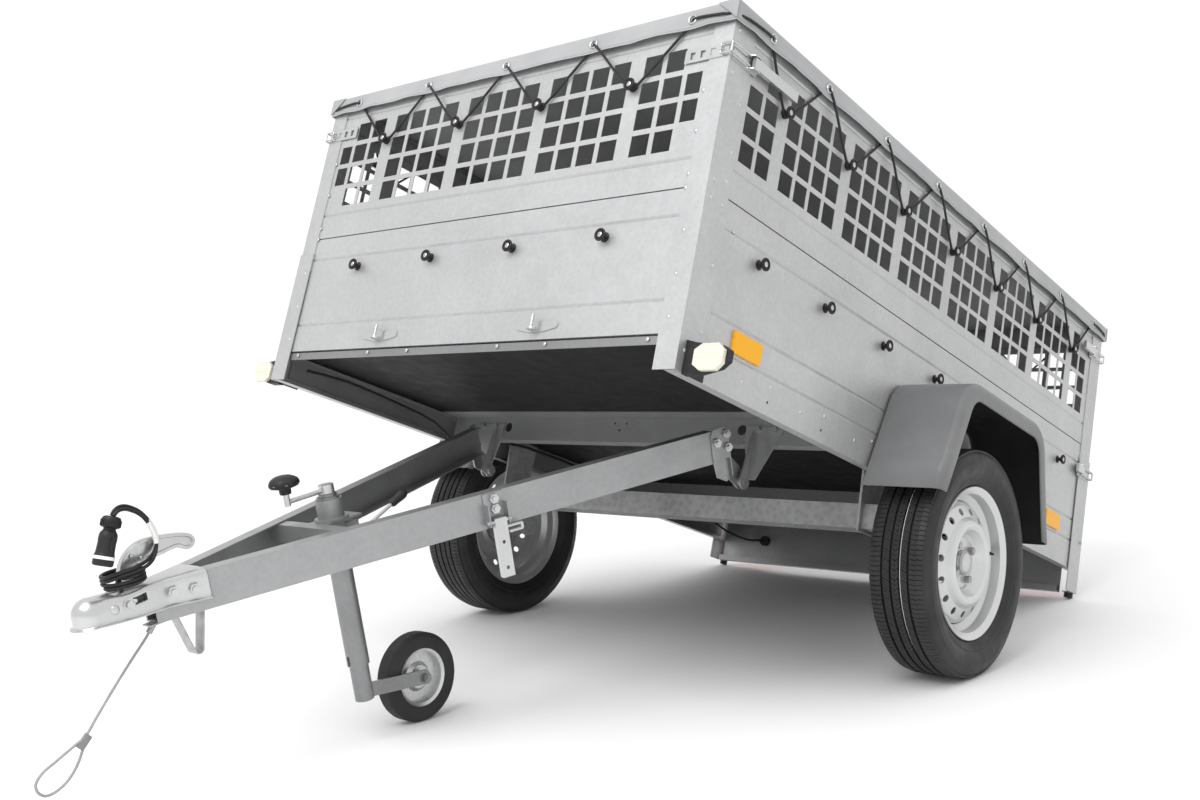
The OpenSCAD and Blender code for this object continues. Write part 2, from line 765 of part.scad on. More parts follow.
// ---- drawbar ----
module drawbar_arms() {
  color(ZINC) on_drawbar() both() difference() {
    on_arm() translate([0, 0, arm_bottom]) rotate([90, 0, 90]) linear_extrude(arm_len)
      strip([[-arm_flange, 0], [0, 0], [0, arm_h], [-arm_flange, arm_h]], arm_t);
    box_at(-60, 0.15, arm_front_y - 20, -500, arm_bottom - 1, arm_top + 1);
  }
}

plate_top = arm_top - arm_t - 0.2;
plate_under = plate_top - 5;
bar_y = -318;
clamp_r = tube_r + 4;
module cross_bars() {
  inner = arm_front_x + (bar_y - arm_front_y) * arm_slope - arm_t - 0.5;
  color(ZINC) on_drawbar() difference() {
    union() {
      translate([0, 0, plate_under]) linear_extrude(5)
        polygon([[-inner, bar_y], [inner, bar_y], [inner + 8, bar_y + 28], [-inner - 8, bar_y + 28]]);
      box_at(-inner, inner, bar_y, bar_y + 4, 8, plate_top);
      box_at(-30, 30, bar_y + 20, -198, plate_under, plate_top);
    }
    rod_z(0, 60, 0, jockey_y, clamp_r + 0.3);
  }
}

// Folded plate bolted to each arm's rear end, with the lug that carries the hinge pin.
lug_x = 421;
cheek_x = 436;
module hinge_plates() {
  color(ZINC) on_drawbar() both() {
    on_arm() translate([arm_len - 12, 4.1, 0]) rotate([90, 0, 0]) linear_extrude(4)
      polygon([[0, -14], [2, 40], [10, 53], [40, 56], [52, 40], [52, -64], [30, -74], [6, -60]]);
    along_x(lug_x, lug_x + 4) polygon(concat(
      [[hinge_y - 38, -70]], arc([hinge_y, hinge_z], 18, 200, 350, 14), [[hinge_y + 8, -50], [hinge_y - 22, -20], [hinge_y - 38, -20]]
    ));
    rod_x(lug_x - 4, cheek_x + 6, hinge_y, hinge_z, 8);
    rod_x(lug_x + 4, cheek_x - 0.3, hinge_y, hinge_z, 12);
    hex_x(lug_x - 8, lug_x, hinge_y, hinge_z, 24);
  }
}

module arm_bolt(x, z, under) {
  translate([x, under, z]) rotate([-90, 0, 0]) {
    cylinder(h = 8, d = 19 / cos(30), $fn = 6);
    translate([0, 0, 8]) cylinder(h = 5, r = 6, $fn = 32);
  }
}
module drawbar_bolts() {
  color(ZINC) on_drawbar() both() on_arm() {
    for (p = [[arm_len + 2, 22], [arm_len + 32, 38], [arm_len + 32, 6]]) arm_bolt(p[0], p[1], 4.2);
    for (p = [[37, 27], [76, 22]]) arm_bolt(p[0], p[1], 5);
    for (z = [14, 36]) arm_bolt(latch_at, z, 3.2);
  }
}

shell_t = 4;
shell_straight_y = -667;
shell_rear_y = -592;
module shell_plan(grow) {
  flare = (shell_rear_y - shell_straight_y) * arm_slope;
  polygon([
    [-28 - grow, ball_y], [28 + grow, ball_y], [28 + grow, shell_straight_y], [28 + flare + grow, shell_rear_y],
    [-28 - flare - grow, shell_rear_y], [-28 - grow, shell_straight_y]
  ]);
}
lip_z = 10;
roof_z = arm_top + 0.3;
// A rounded cross-section of the pressed shell at y, with half width w.
module shell_section(w, y, bottom) {
  edge = 12;
  for (s = [-1, 1]) translate([s * (w - edge), y, roof_z + shell_t - edge]) sphere(r = edge, $fn = 32);
  box_at(-w, w, y - 1, y, bottom, bottom + 4);
}
module coupling_shell() {
  half = 28 + shell_t;
  flare = (shell_rear_y - shell_straight_y) * arm_slope;
  color(ZINC) on_drawbar() difference() {
    union() {
      hull() {
        translate([0, ball_y, ball_z]) sphere(r = 31, $fn = 48);
        shell_section(half, -700, lip_z);
      }
      hull() {
        shell_section(half, -700, lip_z);
        shell_section(half, shell_straight_y, 4);
      }
      hull() {
        shell_section(half, shell_straight_y, 4);
        shell_section(half + flare, shell_rear_y, -2);
      }
      rod_z(lip_z, ball_z, 0, ball_y, 31);
      hull() {
        rod_z(lip_z, lip_z + 5, 0, ball_y, 36);
        box_at(-half - 5, half + 5, shell_straight_y - 1, shell_straight_y, 1, 6);
      }
      hull() {
        box_at(-half - 5, half + 5, shell_straight_y - 1, shell_straight_y, 1, 6);
        box_at(-half - flare - 5, half + flare + 5, shell_rear_y - 1, shell_rear_y, -4, 1);
      }
      for (s = [-1, 1]) rod_x(s * half - 3, s * half + 3, jaw_y, jaw_z + 4, 6);
    }
    box_at(-80, 80, shell_rear_y, shell_rear_y + 20, -10, 60);
    translate([0, 0, -30]) linear_extrude(roof_z + 30) intersection() {
      shell_plan(0);
      translate([-80, ball_y + 27]) square([160, 400]);
    }
    translate([0, ball_y, ball_z]) sphere(r = socket_r, $fn = round_fn);
    rod_z(-10, ball_z, 0, ball_y, socket_r);
    box_at(-9, 9, -762, -698, 45, 70);
    for (s = [-1, 1]) rod_z(40, 70, s * 16, -745, 4.5);
    rod_x(-50, 50, handle_y, handle_z, 4.05);
    box_at(-50, 50, -722, -704, 38, 46);
    rod_x(-28.4, 28.4, jaw_y, jaw_z, 3);
  }
}

handle_y = -732;
handle_z = 34;
jaw_y = -758;
jaw_z = 26;
socket_r = 25.3;
module coupling_handle() {
  color(ZINC) on_drawbar() {
    along_x(-7, 7) polygon(concat(
      arc([handle_y, handle_z], 12, 190, 330, 10),
      [[-706, 62], [-700, 85], [-676, 93], [-650, 93], [-612, 96], [-596, 86], [-580, 90]],
      [[-574, 102], [-584, 116], [-610, 124], [-662, 132], [-690, 131], [-715, 119], [-733, 100], [-744, 64]]
    ));
    rod_x(-half_pin, half_pin, handle_y, handle_z, 4);
  }
}
half_pin = 35;
module coupling_jaw() {
  color(DARK_ZINC) on_drawbar() {
    along_x(-5, 5) polygon([
      [-775, 12], [-762, 8], [-750, 14], [-746, 26], [-752, 37], [-766, 40], [-775, 36], [-778, 24]
    ]);
    rod_x(-27.8, 27.8, jaw_y, jaw_z, 3);
  }
}

latch_at = 712;
module tip_latch_brackets() {
  color(ZINC) on_drawbar() both() on_arm() translate([latch_at, 0, 0]) {
    box_at(-24, 24, 0.1, 3.1, -20, 48);
    for (x = [-24, 21]) difference() {
      box_at(x, x + 3, 3, 22, -20, 26);
      rod_x(x - 1, x + 4, 16, -12, 4.05);
    }
  }
}
// The lever hangs from the bracket's pin, with the draw loop that hooks the catch on the front panel.
module tip_latch(s) {
  color(ZINC) on_drawbar() mirror([s < 0 ? 1 : 0, 0, 0]) on_arm() translate([latch_at, 0, 0]) {
    rod_x(-28, 28, 16, -12, 4);
    difference() {
      box_at(-14, 14, 10, 24, -132, -4);
      box_at(-11.5, 11.5, 8, 21.5, -134, -20);
      for (z = [-56, -112]) translate([0, 20, z]) rotate([-90, 0, 0]) cylinder(h = 8, r = 4, $fn = 24);
    }
    rod_x(14, 50, 20, -26, 3.5);
    rod_x(18, 50, 20, -38, 3.5);
    rod_z(-38, -26, 50, 20, 3.5);
  }
}
module tip_latch_left() {
  tip_latch(-1);
}
module tip_latch_right() {
  tip_latch(1);
}

module skid_strip() {
  z = arm_bottom - 3.2;
  color(DARK_ZINC) on_drawbar() {
    along_x(-14, 14) strip(concat([[-704, z], [-648, z]], arc([-616, -103], 11, 215, 340, 8), [[-588, z], [-566, z]]), 3);
    translate([0, -690, z]) rotate([-45, 0, 0]) translate([0, 0, -18]) cylinder(h = 18, r = 6, $fn = 32);
  }
}

// ---- jockey wheel ----
lever_y = -212;
lever_z = 14;
lever_x = 42;
module jockey_clamp() {
  bottom = -12;
  color(ZINC) on_drawbar() difference() {
    union() {
      rod_z(bottom, 92, 0, jockey_y, clamp_r);
      rod_z(plate_top + 0.1, plate_top + 5, 0, jockey_y, clamp_r + 8);
      box_at(-9, 9, jockey_y + tube_r - 2, lever_y + 14, bottom + 8, lever_z + 16);
    }
    rod_z(bottom - 1, 93, 0, jockey_y, tube_r + 0.08);
    box_at(-2.5, 2.5, jockey_y + tube_r - 4, lever_y + 15, bottom - 1, 93);
    rod_x(-12, 12, lever_y, lever_z, 5.05);
  }
}

module clamp_lever() {
  color(ZINC) on_drawbar() {
    rod_x(-16, lever_x, lever_y, lever_z, 5);
    rod_x(lever_x - 6, lever_x + 6, lever_y, lever_z, 9);
    translate([lever_x, lever_y, lever_z]) rotate([-70, 0, 0]) {
      cylinder(h = 96, r = 4, $fn = 24);
      translate([0, 0, 95]) cylinder(h = 38, r = 8, $fn = 24);
    }
  }
}

crank_base = 104;
module jockey_tube() {
  color(ZINC) on_drawbar() difference() {
    union() {
      rod_z(tube_bottom, tube_top, 0, jockey_y, tube_r);
      rod_z(tube_top, crank_base - 0.5, 0, jockey_y, 19);
    }
    rod_z(tube_bottom - 1, tube_top - 4, 0, jockey_y, leg_r + 0.4);
    rod_z(tube_top - 6, crank_base, 0, jockey_y, 8.2);
    box_at(-5, 5, jockey_y - 30, jockey_y - 15, tube_bottom - 1, tube_bottom + 24);
  }
}

// Threaded spindle, crank rod and mushroom knob, turning together.
spindle_bottom = -240;
module jockey_crank() {
  color(ZINC) on_drawbar() {
    rod_z(spindle_bottom, crank_base, 0, jockey_y, 8);
    rod_z(crank_base, 122, 0, jockey_y, 16);
    rod_y(jockey_y - 100, jockey_y - 10, 0, 111, 5);
    rod_z(103, 130, 0, jockey_y - 100, 6.5);
    translate([0, jockey_y - 100, 0]) rotate_extrude($fn = 48)
      polygon([[0, 128], [11, 128], [12, 140], [27, 144], [31, 150], [28, 158], [16, 165], [0, 167]]);
  }
}

nut_z = -92;
module jockey_nut() {
  color(DARK_ZINC) on_drawbar() difference() {
    rod_z(nut_z, nut_z + 24, 0, jockey_y, 14);
    rod_z(nut_z - 1, nut_z + 25, 0, jockey_y, 8.05);
  }
}

leg_bottom = -352;
module jockey_leg() {
  arm_x = -6;
  color(ZINC) on_drawbar() difference() {
    union() {
      rod_z(leg_bottom, nut_z + 30, 0, jockey_y, leg_r);
      along_x(arm_x - 3, arm_x + 3) polygon([
        [jockey_y, -320], [jockey_wheel_y + 8, jockey_wheel_z + 17], [jockey_wheel_y + 18, jockey_wheel_z],
        [jockey_wheel_y + 8, jockey_wheel_z - 16], [jockey_y, leg_bottom]
      ]);
      rod_x(jockey_wheel_x - 34, 8, jockey_wheel_y, jockey_wheel_z, 6);
      hex_x(-3, 6, jockey_wheel_y, jockey_wheel_z, 19);
      hex_x(jockey_wheel_x - 34, jockey_wheel_x - 25, jockey_wheel_y, jockey_wheel_z, 19);
    }
    rod_z(leg_bottom + 20, nut_z - 6, 0, jockey_y, leg_r - 3);
    rod_z(nut_z - 8, nut_z, 0, jockey_y, 9);
    rod_z(nut_z - 0.3, nut_z + 31, 0, jockey_y, leg_r - 3);
  }
}

module on_jockey() {
  on_drawbar() translate([jockey_wheel_x, jockey_wheel_y, jockey_wheel_z]) children();
}
module jockey_rim() {
  color(ZINC) on_jockey() difference() {
    union() {
      wheel_turn(round_fn) strip([[66, 22], [58, 18], [56, 8], [56, -8], [58, -18], [66, -22]], 2);
      wheel_turn(round_fn) strip([[56.5, 2], [34, 2], [26, 10], [12, 10]], 2);
      wheel_turn(round_fn) polygon([[6.05, -24], [14, -24], [14, 24], [6.05, 24]]);
    }
  }
}
module jockey_tyre() {
  color(RUBBER) on_jockey() wheel_turn(round_fn) polygon(concat(
    [[58.2, 17.5], [66.5, 22.4], [72, 24], [90, 24]], arc([88, 12], 12, 60, 0, 5), arc([88, -12], 12, 0, -60, 5),
    [[90, -24], [72, -24], [66.5, -22.4], [58.2, -17.5]]
  ));
}

// ---- cords on the drawbar ----
cable_d = 7;
coil_y = -729;
coil_z = 59.3;
coil_h = 24.2;
module plug() {
  color(RUBBER) on_drawbar() translate([28, -758, 154]) rotate([-25, 0, 0]) rotate_extrude($fn = 48) polygon([
    [0, -45], [19, -45], [19, -24], [17, -22], [16, 14], [11, 20], [11, 24], [18, 26], [18, 40], [14, 45], [0, 45]
  ]);
}

module cable_coil() {
  color(RUBBER) on_drawbar() translate([0, coil_y, coil_z]) rotate_extrude($fn = 48)
    translate([34, 0]) square([cable_d, coil_h]);
}

// Two leads leave the plug's cap side by side, arch over to the rear and come down on to the coil's side.
lead_a = [
  [24, -738, 195.2], [24, -732, 202], [23, -722, 206], [20, -710, 205], [17, -697, 199], [15, -682, 188],
  [13, -669, 172], [12, -660, 153], [11, -655, 132], [11.3, -657, 119], [13, -663, 109], [17.5, -674, 101],
  [25, -688, 97], [32, -702, 95.5], [36.5, -716, 95], [37.5, -724, 94.8]
];
lead_b = [
  [32, -738, 195.2], [32, -732, 200], [31, -724, 202], [28, -712, 200], [25, -700, 194], [23, -686, 184],
  [21, -674, 169], [20, -666, 151], [19, -662, 134], [19.5, -662, 120], [21, -668, 105], [25, -678, 95],
  [31, -692, 89.5], [35.5, -706, 87.6], [37.2, -718, 87.1], [37.5, -724, 87.1]
];
module cable_lead() {
  color(RUBBER) on_drawbar() {
    tube(lead_a, cable_d, 8);
    tube(lead_b, cable_d, 8);
  }
}

rope_route = [
  [0, -703.3, -42.5], [0, -716, -54], [0, -748, -80], [0, -790, -116], [0, -832, -154], [0, -858, -178],
  [0, -884, -188], [0, -918, -200], [0, -946, -210], [0, -962, -224], [0, -962, -240], [0, -950, -252],
  [0, -930, -252], [0, -906, -242], [0, -884, -222], [0, -868, -198]
];
module safety_rope() {
  color("silver") on_drawbar() tube(smooth(rope_route, 2), 5, 8);
}

floor_board();
side_panels();
front_panel();
mesh_panels();
lower_posts();
upper_posts();
underframe();
hinge_brackets();
axle_beam();
mudguards();
light_panel();
rear_lamps();
marker_arms();
marker_lenses();
side_reflectors();
rear_feet();
cover_knobs();
cover();
lacing_cord();
wiring_loom();
tip_catches();
latch_plates();
tailgate_panel();
front_latch_left();
front_latch_right();
rear_latch_left();
rear_latch_right();
tailgate_latch_left();
tailgate_latch_right();
torsion_arm_left();
torsion_arm_right();
hub_left();
hub_right();
rim_left();
rim_right();
tyre_left();
tyre_right();
drawbar_arms();
cross_bars();
hinge_plates();
drawbar_bolts();
coupling_shell();
coupling_handle();
coupling_jaw();
tip_latch_brackets();
tip_latch_left();
tip_latch_right();
skid_strip();
jockey_clamp();
clamp_lever();
jockey_tube();
jockey_crank();
jockey_nut();
jockey_leg();
jockey_rim();
jockey_tyre();
plug();
cable_coil();
cable_lead();
safety_rope();
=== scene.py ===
import json
import math

import bmesh
import bpy
from bpy.props import FloatProperty, FloatVectorProperty, IntProperty, PointerProperty
from mathutils import Matrix, Vector, noise


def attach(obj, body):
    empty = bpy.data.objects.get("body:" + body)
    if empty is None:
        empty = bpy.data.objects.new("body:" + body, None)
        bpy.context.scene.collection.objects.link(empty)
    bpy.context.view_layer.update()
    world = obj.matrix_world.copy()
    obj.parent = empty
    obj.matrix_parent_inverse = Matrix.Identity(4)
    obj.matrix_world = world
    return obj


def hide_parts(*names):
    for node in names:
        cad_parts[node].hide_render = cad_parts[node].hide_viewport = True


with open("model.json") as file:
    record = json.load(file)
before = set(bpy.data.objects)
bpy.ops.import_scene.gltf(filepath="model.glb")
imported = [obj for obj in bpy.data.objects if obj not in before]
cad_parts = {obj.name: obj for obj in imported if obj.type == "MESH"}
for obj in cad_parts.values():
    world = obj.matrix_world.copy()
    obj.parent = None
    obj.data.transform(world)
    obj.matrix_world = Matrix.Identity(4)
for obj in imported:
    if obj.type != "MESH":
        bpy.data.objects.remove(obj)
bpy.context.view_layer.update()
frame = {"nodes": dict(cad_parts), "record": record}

bl_info = {
    "name": "Tipping utility trailer",
    "version": (1, 0, 0),
    "blender": (4, 5, 0),
    "location": "3D View > Sidebar > Trailer",
    "description": "Finishes a galvanised tipping trailer around its fixed frame",
    "category": "Object",
}

TIP = math.radians(19.4)
FOLD = math.radians(28.6)
# These take millimetres of the level box, and of the drawbar when driving, to the tipped trailer in metres.
BOX = (
    Matrix.Translation((0, -0.67385, 0.775383))
    @ Matrix.Rotation(-TIP, 4, "X")
    @ Matrix.Scale(0.001, 4)
)
DRAWBAR = (
    BOX
    @ Matrix.Translation((0, 605, -85))
    @ Matrix.Rotation(FOLD, 4, "X")
    @ Matrix.Translation((0, -605, 85))
)
AS_IT_IS = Matrix.Identity(4)
SIDEWAYS, LENGTHWAYS = (1, 0, 0), (0, 1, 0)
WHEEL = (762, 1041, -165.5)
CRANK_Y = -354
CLAMP_LEVER = (42, -212, 14)
ARM_ANGLE = math.atan(390 / 1237)
FACE_X = 658.8
FACE_Y = 5.2
REAR_Y = 2094.8
LACE_XS = [277 * k for k in range(-2, 3)]
LACE_YS = [125] + [84.5 + 273 * k for k in range(1, 7)] + [1990]
KNOB_XS = [-412.5, -137.5, 137.5, 412.5]
KNOB_YS = [221 + 273 * k for k in range(7)]
KNOB_LOW_Z = 296
KNOB_HIGH_Z = 642
LEAD_A_TAIL = [
    (36.5, -716, 95), (32, -702, 95.5), (25, -688, 97), (17.5, -674, 101), (13, -663, 109),
    (11.3, -657, 119),
    (11, -655, 132), (12, -660, 153), (13, -669, 172), (15, -682, 188), (17, -697, 199),
    (20, -710, 205), (23, -722, 206), (24, -732, 202), (24, -738, 195.2),
]
LEAD_B_TAIL = [
    (37.2, -718, 87.1), (35.5, -706, 87.6), (31, -692, 89.5), (25, -678, 95), (21, -668, 105),
    (19.5, -662, 120),
    (19, -662, 134), (20, -666, 151), (21, -674, 169), (23, -686, 184), (25, -700, 194), (28, -712, 200),
    (31, -724, 202), (32, -732, 200), (32, -738, 195.2),
]
COIL_Y = -729
CABLE = 7
COVER_X, COVER_FRONT, COVER_REAR, COVER_Z = 666, -2, 2102, 792
COVER_CELLS = (96, 150)
SKIRT_DEPTH = 46
EYELET_Z = 767
ROPE_ROUTE = [
    (0, -703.3, -42.5), (0, -716, -54), (0, -748, -80), (0, -790, -116), (0, -832, -154), (0, -858, -178),
    (0, -884, -188), (0, -918, -200), (0, -946, -210), (0, -962, -224), (0, -962, -240), (0, -950, -252),
    (0, -930, -252), (0, -906, -242), (0, -884, -222), (0, -868, -198),
]


FINISHES = {}


def tint(name, description, red, green, blue):
    return FloatVectorProperty(
        name=name, description=description, subtype="COLOR", size=4, min=0, max=1,
        default=(red, green, blue, 1),
    )


def length(name, description, default, low, high):
    return FloatProperty(
        name=name, description=description, default=default, min=low, max=high, unit="LENGTH",
    )


class TrailerColours(bpy.types.PropertyGroup):
    """Colours of the trailer's finishes."""

    zinc: tint("Zinc sheet", "Galvanised panels and posts", 0.46, 0.463, 0.467)
    plate: tint("Zinc plate", "Drawbar arms and jockey tube", 0.335, 0.338, 0.342)
    bright: tint("Bright zinc", "Latches, coupling and crank", 0.54, 0.543, 0.547)
    # Zinc of the underframe and sills, darker than the sheet zinc: painted shade under the box.
    zinc_painted_shade: tint("Zinc with painted shade", "Underframe and sills", 0.24, 0.242, 0.245)
    dipped: tint("Hot-dip zinc", "Axle tube and its arms", 0.38, 0.382, 0.385)
    silver: tint("Silver paint", "Wheel rims", 0.60, 0.603, 0.607)
    cover: tint("Cover", "Coated cover sheet", 0.33, 0.335, 0.34)
    guard: tint("Mudguard", "Grained mudguard plastic", 0.155, 0.157, 0.16)
    rubber: tint("Rubber", "Knobs, cords and grips", 0.012, 0.012, 0.012)
    tyre: tint("Tyre", "Tyre rubber", 0.02, 0.02, 0.021)
    amber: tint("Amber", "Side reflectors", 1.0, 0.47, 0.0)
    red: tint("Red", "Rear lamps", 0.45, 0.01, 0.01)
    clear: tint("Clear", "Front marker lenses", 0.76, 0.73, 0.62)
    floor: tint("Floor", "Studio floor", 0.97, 0.97, 0.97)


class TrailerSizes(bpy.types.PropertyGroup):
    """Sizes of the trailer's finishing pieces."""

    rivet_radius: length("Rivet radius", "Radius of a blind rivet's head", 0.0048, 0.002, 0.01)
    eyelet_radius: length("Eyelet radius", "Middle radius of a cover eyelet", 0.0095, 0.006, 0.02)
    cover_thickness: length("Cover thickness", "Thickness of the cover sheet", 0.0012, 0.0005, 0.003)
    lace_diameter: length("Lacing diameter", "Diameter of the elastic lacing", 0.006, 0.004, 0.01)
    cable_diameter: length("Cable diameter", "Diameter of the two leads", 0.007, 0.005, 0.01)
    rope_diameter: length("Rope diameter", "Diameter of the safety rope", 0.005, 0.003, 0.008)
    guard_round: length("Mudguard rounding", "Radius of the mudguard's outer edge", 0.018, 0.004, 0.03)
    tread_pitches: IntProperty(
        name="Tread pitches", description="Tread blocks round each tyre", default=76, min=40, max=120,
    )
    focal_length: FloatProperty(
        name="Focal length", description="Camera focal length in millimetres", default=39.158, min=10,
        max=200,
    )
    camera_place: FloatVectorProperty(
        name="Camera place", description="Where the camera stands", default=(2.2088, -2.66406, 0.8155),
        size=3, subtype="TRANSLATION",
    )
    camera_turn: FloatVectorProperty(
        name="Camera turn", description="Camera rotation", default=(1.526281, 0.039977, 0.731753), size=3,
        subtype="EULER",
    )


def colours():
    return bpy.context.scene.trailer_colours


def sizes():
    return bpy.context.scene.trailer_sizes


# ---- meshes ----
def link(name, mesh):
    made = bpy.data.objects.new(name, mesh)
    bpy.context.scene.collection.objects.link(made)
    return made


def mesh_of(name, points, faces):
    mesh = bpy.data.meshes.new(name)
    mesh.from_pydata([tuple(p) for p in points], [], faces)
    mesh.validate()
    mesh.update()
    return mesh


def outward(mesh, merge=1e-5):
    """Turns the faces outwards. Its doubles are merged first, unless merge is 0."""
    shape = bmesh.new()
    shape.from_mesh(mesh)
    if merge:
        bmesh.ops.remove_doubles(shape, verts=shape.verts, dist=merge)
    bmesh.ops.recalc_face_normals(shape, faces=shape.faces)
    shape.to_mesh(mesh)
    shape.free()


def finish_piece(name, mesh, place, finish, body, angle=35, replaced=()):
    """Puts a mesh in place, gives it its finish and lets it ride on a body."""
    mesh.transform(place)
    made = link(name, mesh)
    mesh.materials.clear()
    mesh.materials.append(FINISHES[finish])
    mesh.shade_smooth()
    mesh.set_sharp_from_angle(angle=math.radians(angle))
    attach(made, body)
    if replaced:
        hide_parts(*replaced)
    return made


def lathe(name, profile, segments, closed=True):
    """Turns (radius, across) points about X. A closed profile gives a closed ring."""
    points, faces = [], []
    count = len(profile)
    for s in range(segments):
        a = 2 * math.pi * s / segments
        points += [(x, r * math.cos(a), r * math.sin(a)) for r, x in profile]
    for s in range(segments):
        n = (s + 1) % segments
        for k in range(count if closed else count - 1):
            m = (k + 1) % count
            faces.append((s * count + k, s * count + m, n * count + m, n * count + k))
    mesh = mesh_of(name, points, faces)
    outward(mesh)
    return mesh


def lathe_z(name, profile, segments):
    """Turns (radius, height) points about Z, closed at both poles."""
    mesh = lathe(name, profile, segments, closed=False)
    mesh.transform(turn("Y", -90))
    return mesh


def tangents(points):
    last = len(points) - 1
    return [(points[min(i + 1, last)] - points[max(i - 1, 0)]).normalized() for i in range(len(points))]


def sweep(name, route, radius, sides, lobes=0, lay=0.0, closed=False):
    """A tube along a route with its rings kept square to it. Lobes and lay make it a stranded rope."""
    route = [Vector(p) for p in route]
    along = tangents(route)
    if closed:
        n = len(route)
        along = [(route[(i + 1) % n] - route[i - 1]).normalized() for i in range(n)]
    side = along[0].orthogonal().normalized()
    points, faces, uvs, run = [], [], [], 0.0
    runs = []
    for i, p in enumerate(route):
        if i:
            run += (p - route[i - 1]).length
        runs.append(run)
        side = (side - side.dot(along[i]) * along[i]).normalized()
        other = along[i].cross(side)
        for k in range(sides):
            a = 2 * math.pi * k / sides
            r = radius
            if lobes:
                r *= 0.84 + 0.18 * abs(math.cos(lobes * (a - lay * run) / 2))
            points.append(p + r * (math.cos(a) * side + math.sin(a) * other))
    rings = len(route)
    for i in range(rings if closed else rings - 1):
        j = (i + 1) % rings
        for k in range(sides):
            m = (k + 1) % sides
            faces.append((i * sides + k, i * sides + m, j * sides + m, j * sides + k))
            v0, v1 = runs[i], runs[j] if j else run + (route[0] - route[-1]).length
            uvs.append([(k / sides, v0), ((k + 1) / sides, v0), ((k + 1) / sides, v1), (k / sides, v1)])
    if not closed:
        faces.append(tuple(range(sides - 1, -1, -1)))
        faces.append(tuple((rings - 1) * sides + k for k in range(sides)))
        uvs += [[(0, 0)] * sides, [(0, 0)] * sides]
    mesh = bpy.data.meshes.new(name)
    mesh.from_pydata([tuple(p) for p in points], [], faces)
    layer = mesh.uv_layers.new(name="UVMap")
    flat = [uv for face in uvs for uv in face]
    for loop, uv in zip(layer.data, flat):
        loop.uv = uv
    mesh.update()
    outward(mesh, 0)
    return mesh


def curve_through(points, each):
    """Points of a smooth curve through the route."""
    points = [Vector(p) for p in points]
    made, last = [], len(points) - 1
    for i in range(last):
        a, b, c, d = points[max(i - 1, 0)], points[i], points[i + 1], points[min(i + 2, last)]
        for k in range(each):
            t = k / each
            square, cube = 2 * a - 5 * b + 4 * c - d, 3 * b - a - 3 * c + d
            made.append(0.5 * (2 * b + (c - a) * t + square * t * t + cube * t ** 3))
    return made + [points[-1]]


def rounded(points, times=2, share=0.22):
    """Cuts the corners of a closed route."""
    points = [Vector(p) for p in points]
    for _ in range(times):
        cut = []
        for i, p in enumerate(points):
            q = points[(i + 1) % len(points)]
            cut += [p.lerp(q, share), p.lerp(q, 1 - share)]
        points = cut
    return points


def rounded_open(points, times=2, share=0.22):
    """Cuts the corners of an open route and keeps its ends."""
    points = [Vector(p) for p in points]
    for _ in range(times):
        cut = [points[0]]
        for p, q in zip(points, points[1:]):
            cut += [p.lerp(q, share), p.lerp(q, 1 - share)]
        points = cut + [points[-1]]
    return points


def slab(name, outline, depth, bevel=0.0, segments=2):
    """A plate: a closed outline in its own XY plane, raised along Z and with rounded edges."""
    shape = bmesh.new()
    face = shape.faces.new([shape.verts.new((x, y, 0)) for x, y in outline])
    raised = bmesh.ops.extrude_face_region(shape, geom=[face])
    bmesh.ops.translate(
        shape, vec=(0, 0, depth), verts=[v for v in raised["geom"] if isinstance(v, bmesh.types.BMVert)]
    )
    bmesh.ops.recalc_face_normals(shape, faces=shape.faces)
    if bevel:
        sharp = [e for e in shape.edges if len(e.link_faces) == 2 and e.calc_face_angle() > 0.5]
        bmesh.ops.bevel(shape, geom=sharp, offset=bevel, segments=segments, affect="EDGES", profile=0.6)
    mesh = bpy.data.meshes.new(name)
    shape.to_mesh(mesh)
    shape.free()
    return mesh


def brick(name, low, high, bevel, segments=2):
    """A box between two corners with rounded edges."""
    outline = [(low[0], low[1]), (high[0], low[1]), (high[0], high[1]), (low[0], high[1])]
    mesh = slab(name, outline, high[2] - low[2], bevel, segments)
    mesh.transform(Matrix.Translation((0, 0, low[2])))
    return mesh


def joined(name, parts):
    shape = bmesh.new()
    for part in parts:
        shape.from_mesh(part)
        bpy.data.meshes.remove(part)
    mesh = bpy.data.meshes.new(name)
    shape.to_mesh(mesh)
    shape.free()
    return mesh


def flipped(mesh, axis):
    """Mirrors a mesh across one axis and keeps its faces outwards."""
    mesh.transform(Matrix.Scale(-1, 4, axis))
    mesh.flip_normals()


def turn(axis, degrees):
    return Matrix.Rotation(math.radians(degrees), 4, axis)


def moved(mesh, *places):
    for place in places:
        mesh.transform(place)
    return mesh


# ---- finishes ----
def feed(tree, made, inputs):
    """Fills a node's inputs, each with a value or with another node's output."""
    for key, value in inputs.items():
        if isinstance(value, bpy.types.NodeSocket):
            tree.links.new(value, made.inputs[key])
        else:
            made.inputs[key].default_value = value


def node(tree, kind, inputs=None, **settings):
    made = tree.nodes.new(kind)
    for key, value in settings.items():
        setattr(made, key, value)
    feed(tree, made, inputs or {})
    return made


def maths(tree, operation, *values):
    return node(tree, "ShaderNodeMath", dict(enumerate(values)), operation=operation).outputs[0]


def new_finish(name):
    finish = bpy.data.materials.new(name)
    finish.use_nodes = True
    tree = finish.node_tree
    return finish, tree, tree.nodes["Principled BSDF"]


def ramp(tree, source, low, high, start=0.3, end=0.7):
    made = node(tree, "ShaderNodeMapRange", {
        "Value": source, "From Min": start, "From Max": end, "To Min": low, "To Max": high,
    })
    return made.outputs["Result"]


def tinted(tree, colour, factor):
    """The colour made lighter and darker by a factor about 1."""
    first, second, result = 6, 7, 2
    inputs = {"Factor": 1.0, first: tuple(colour), second: factor}
    return node(tree, "ShaderNodeMix", inputs, data_type="RGBA", blend_type="MULTIPLY").outputs[result]


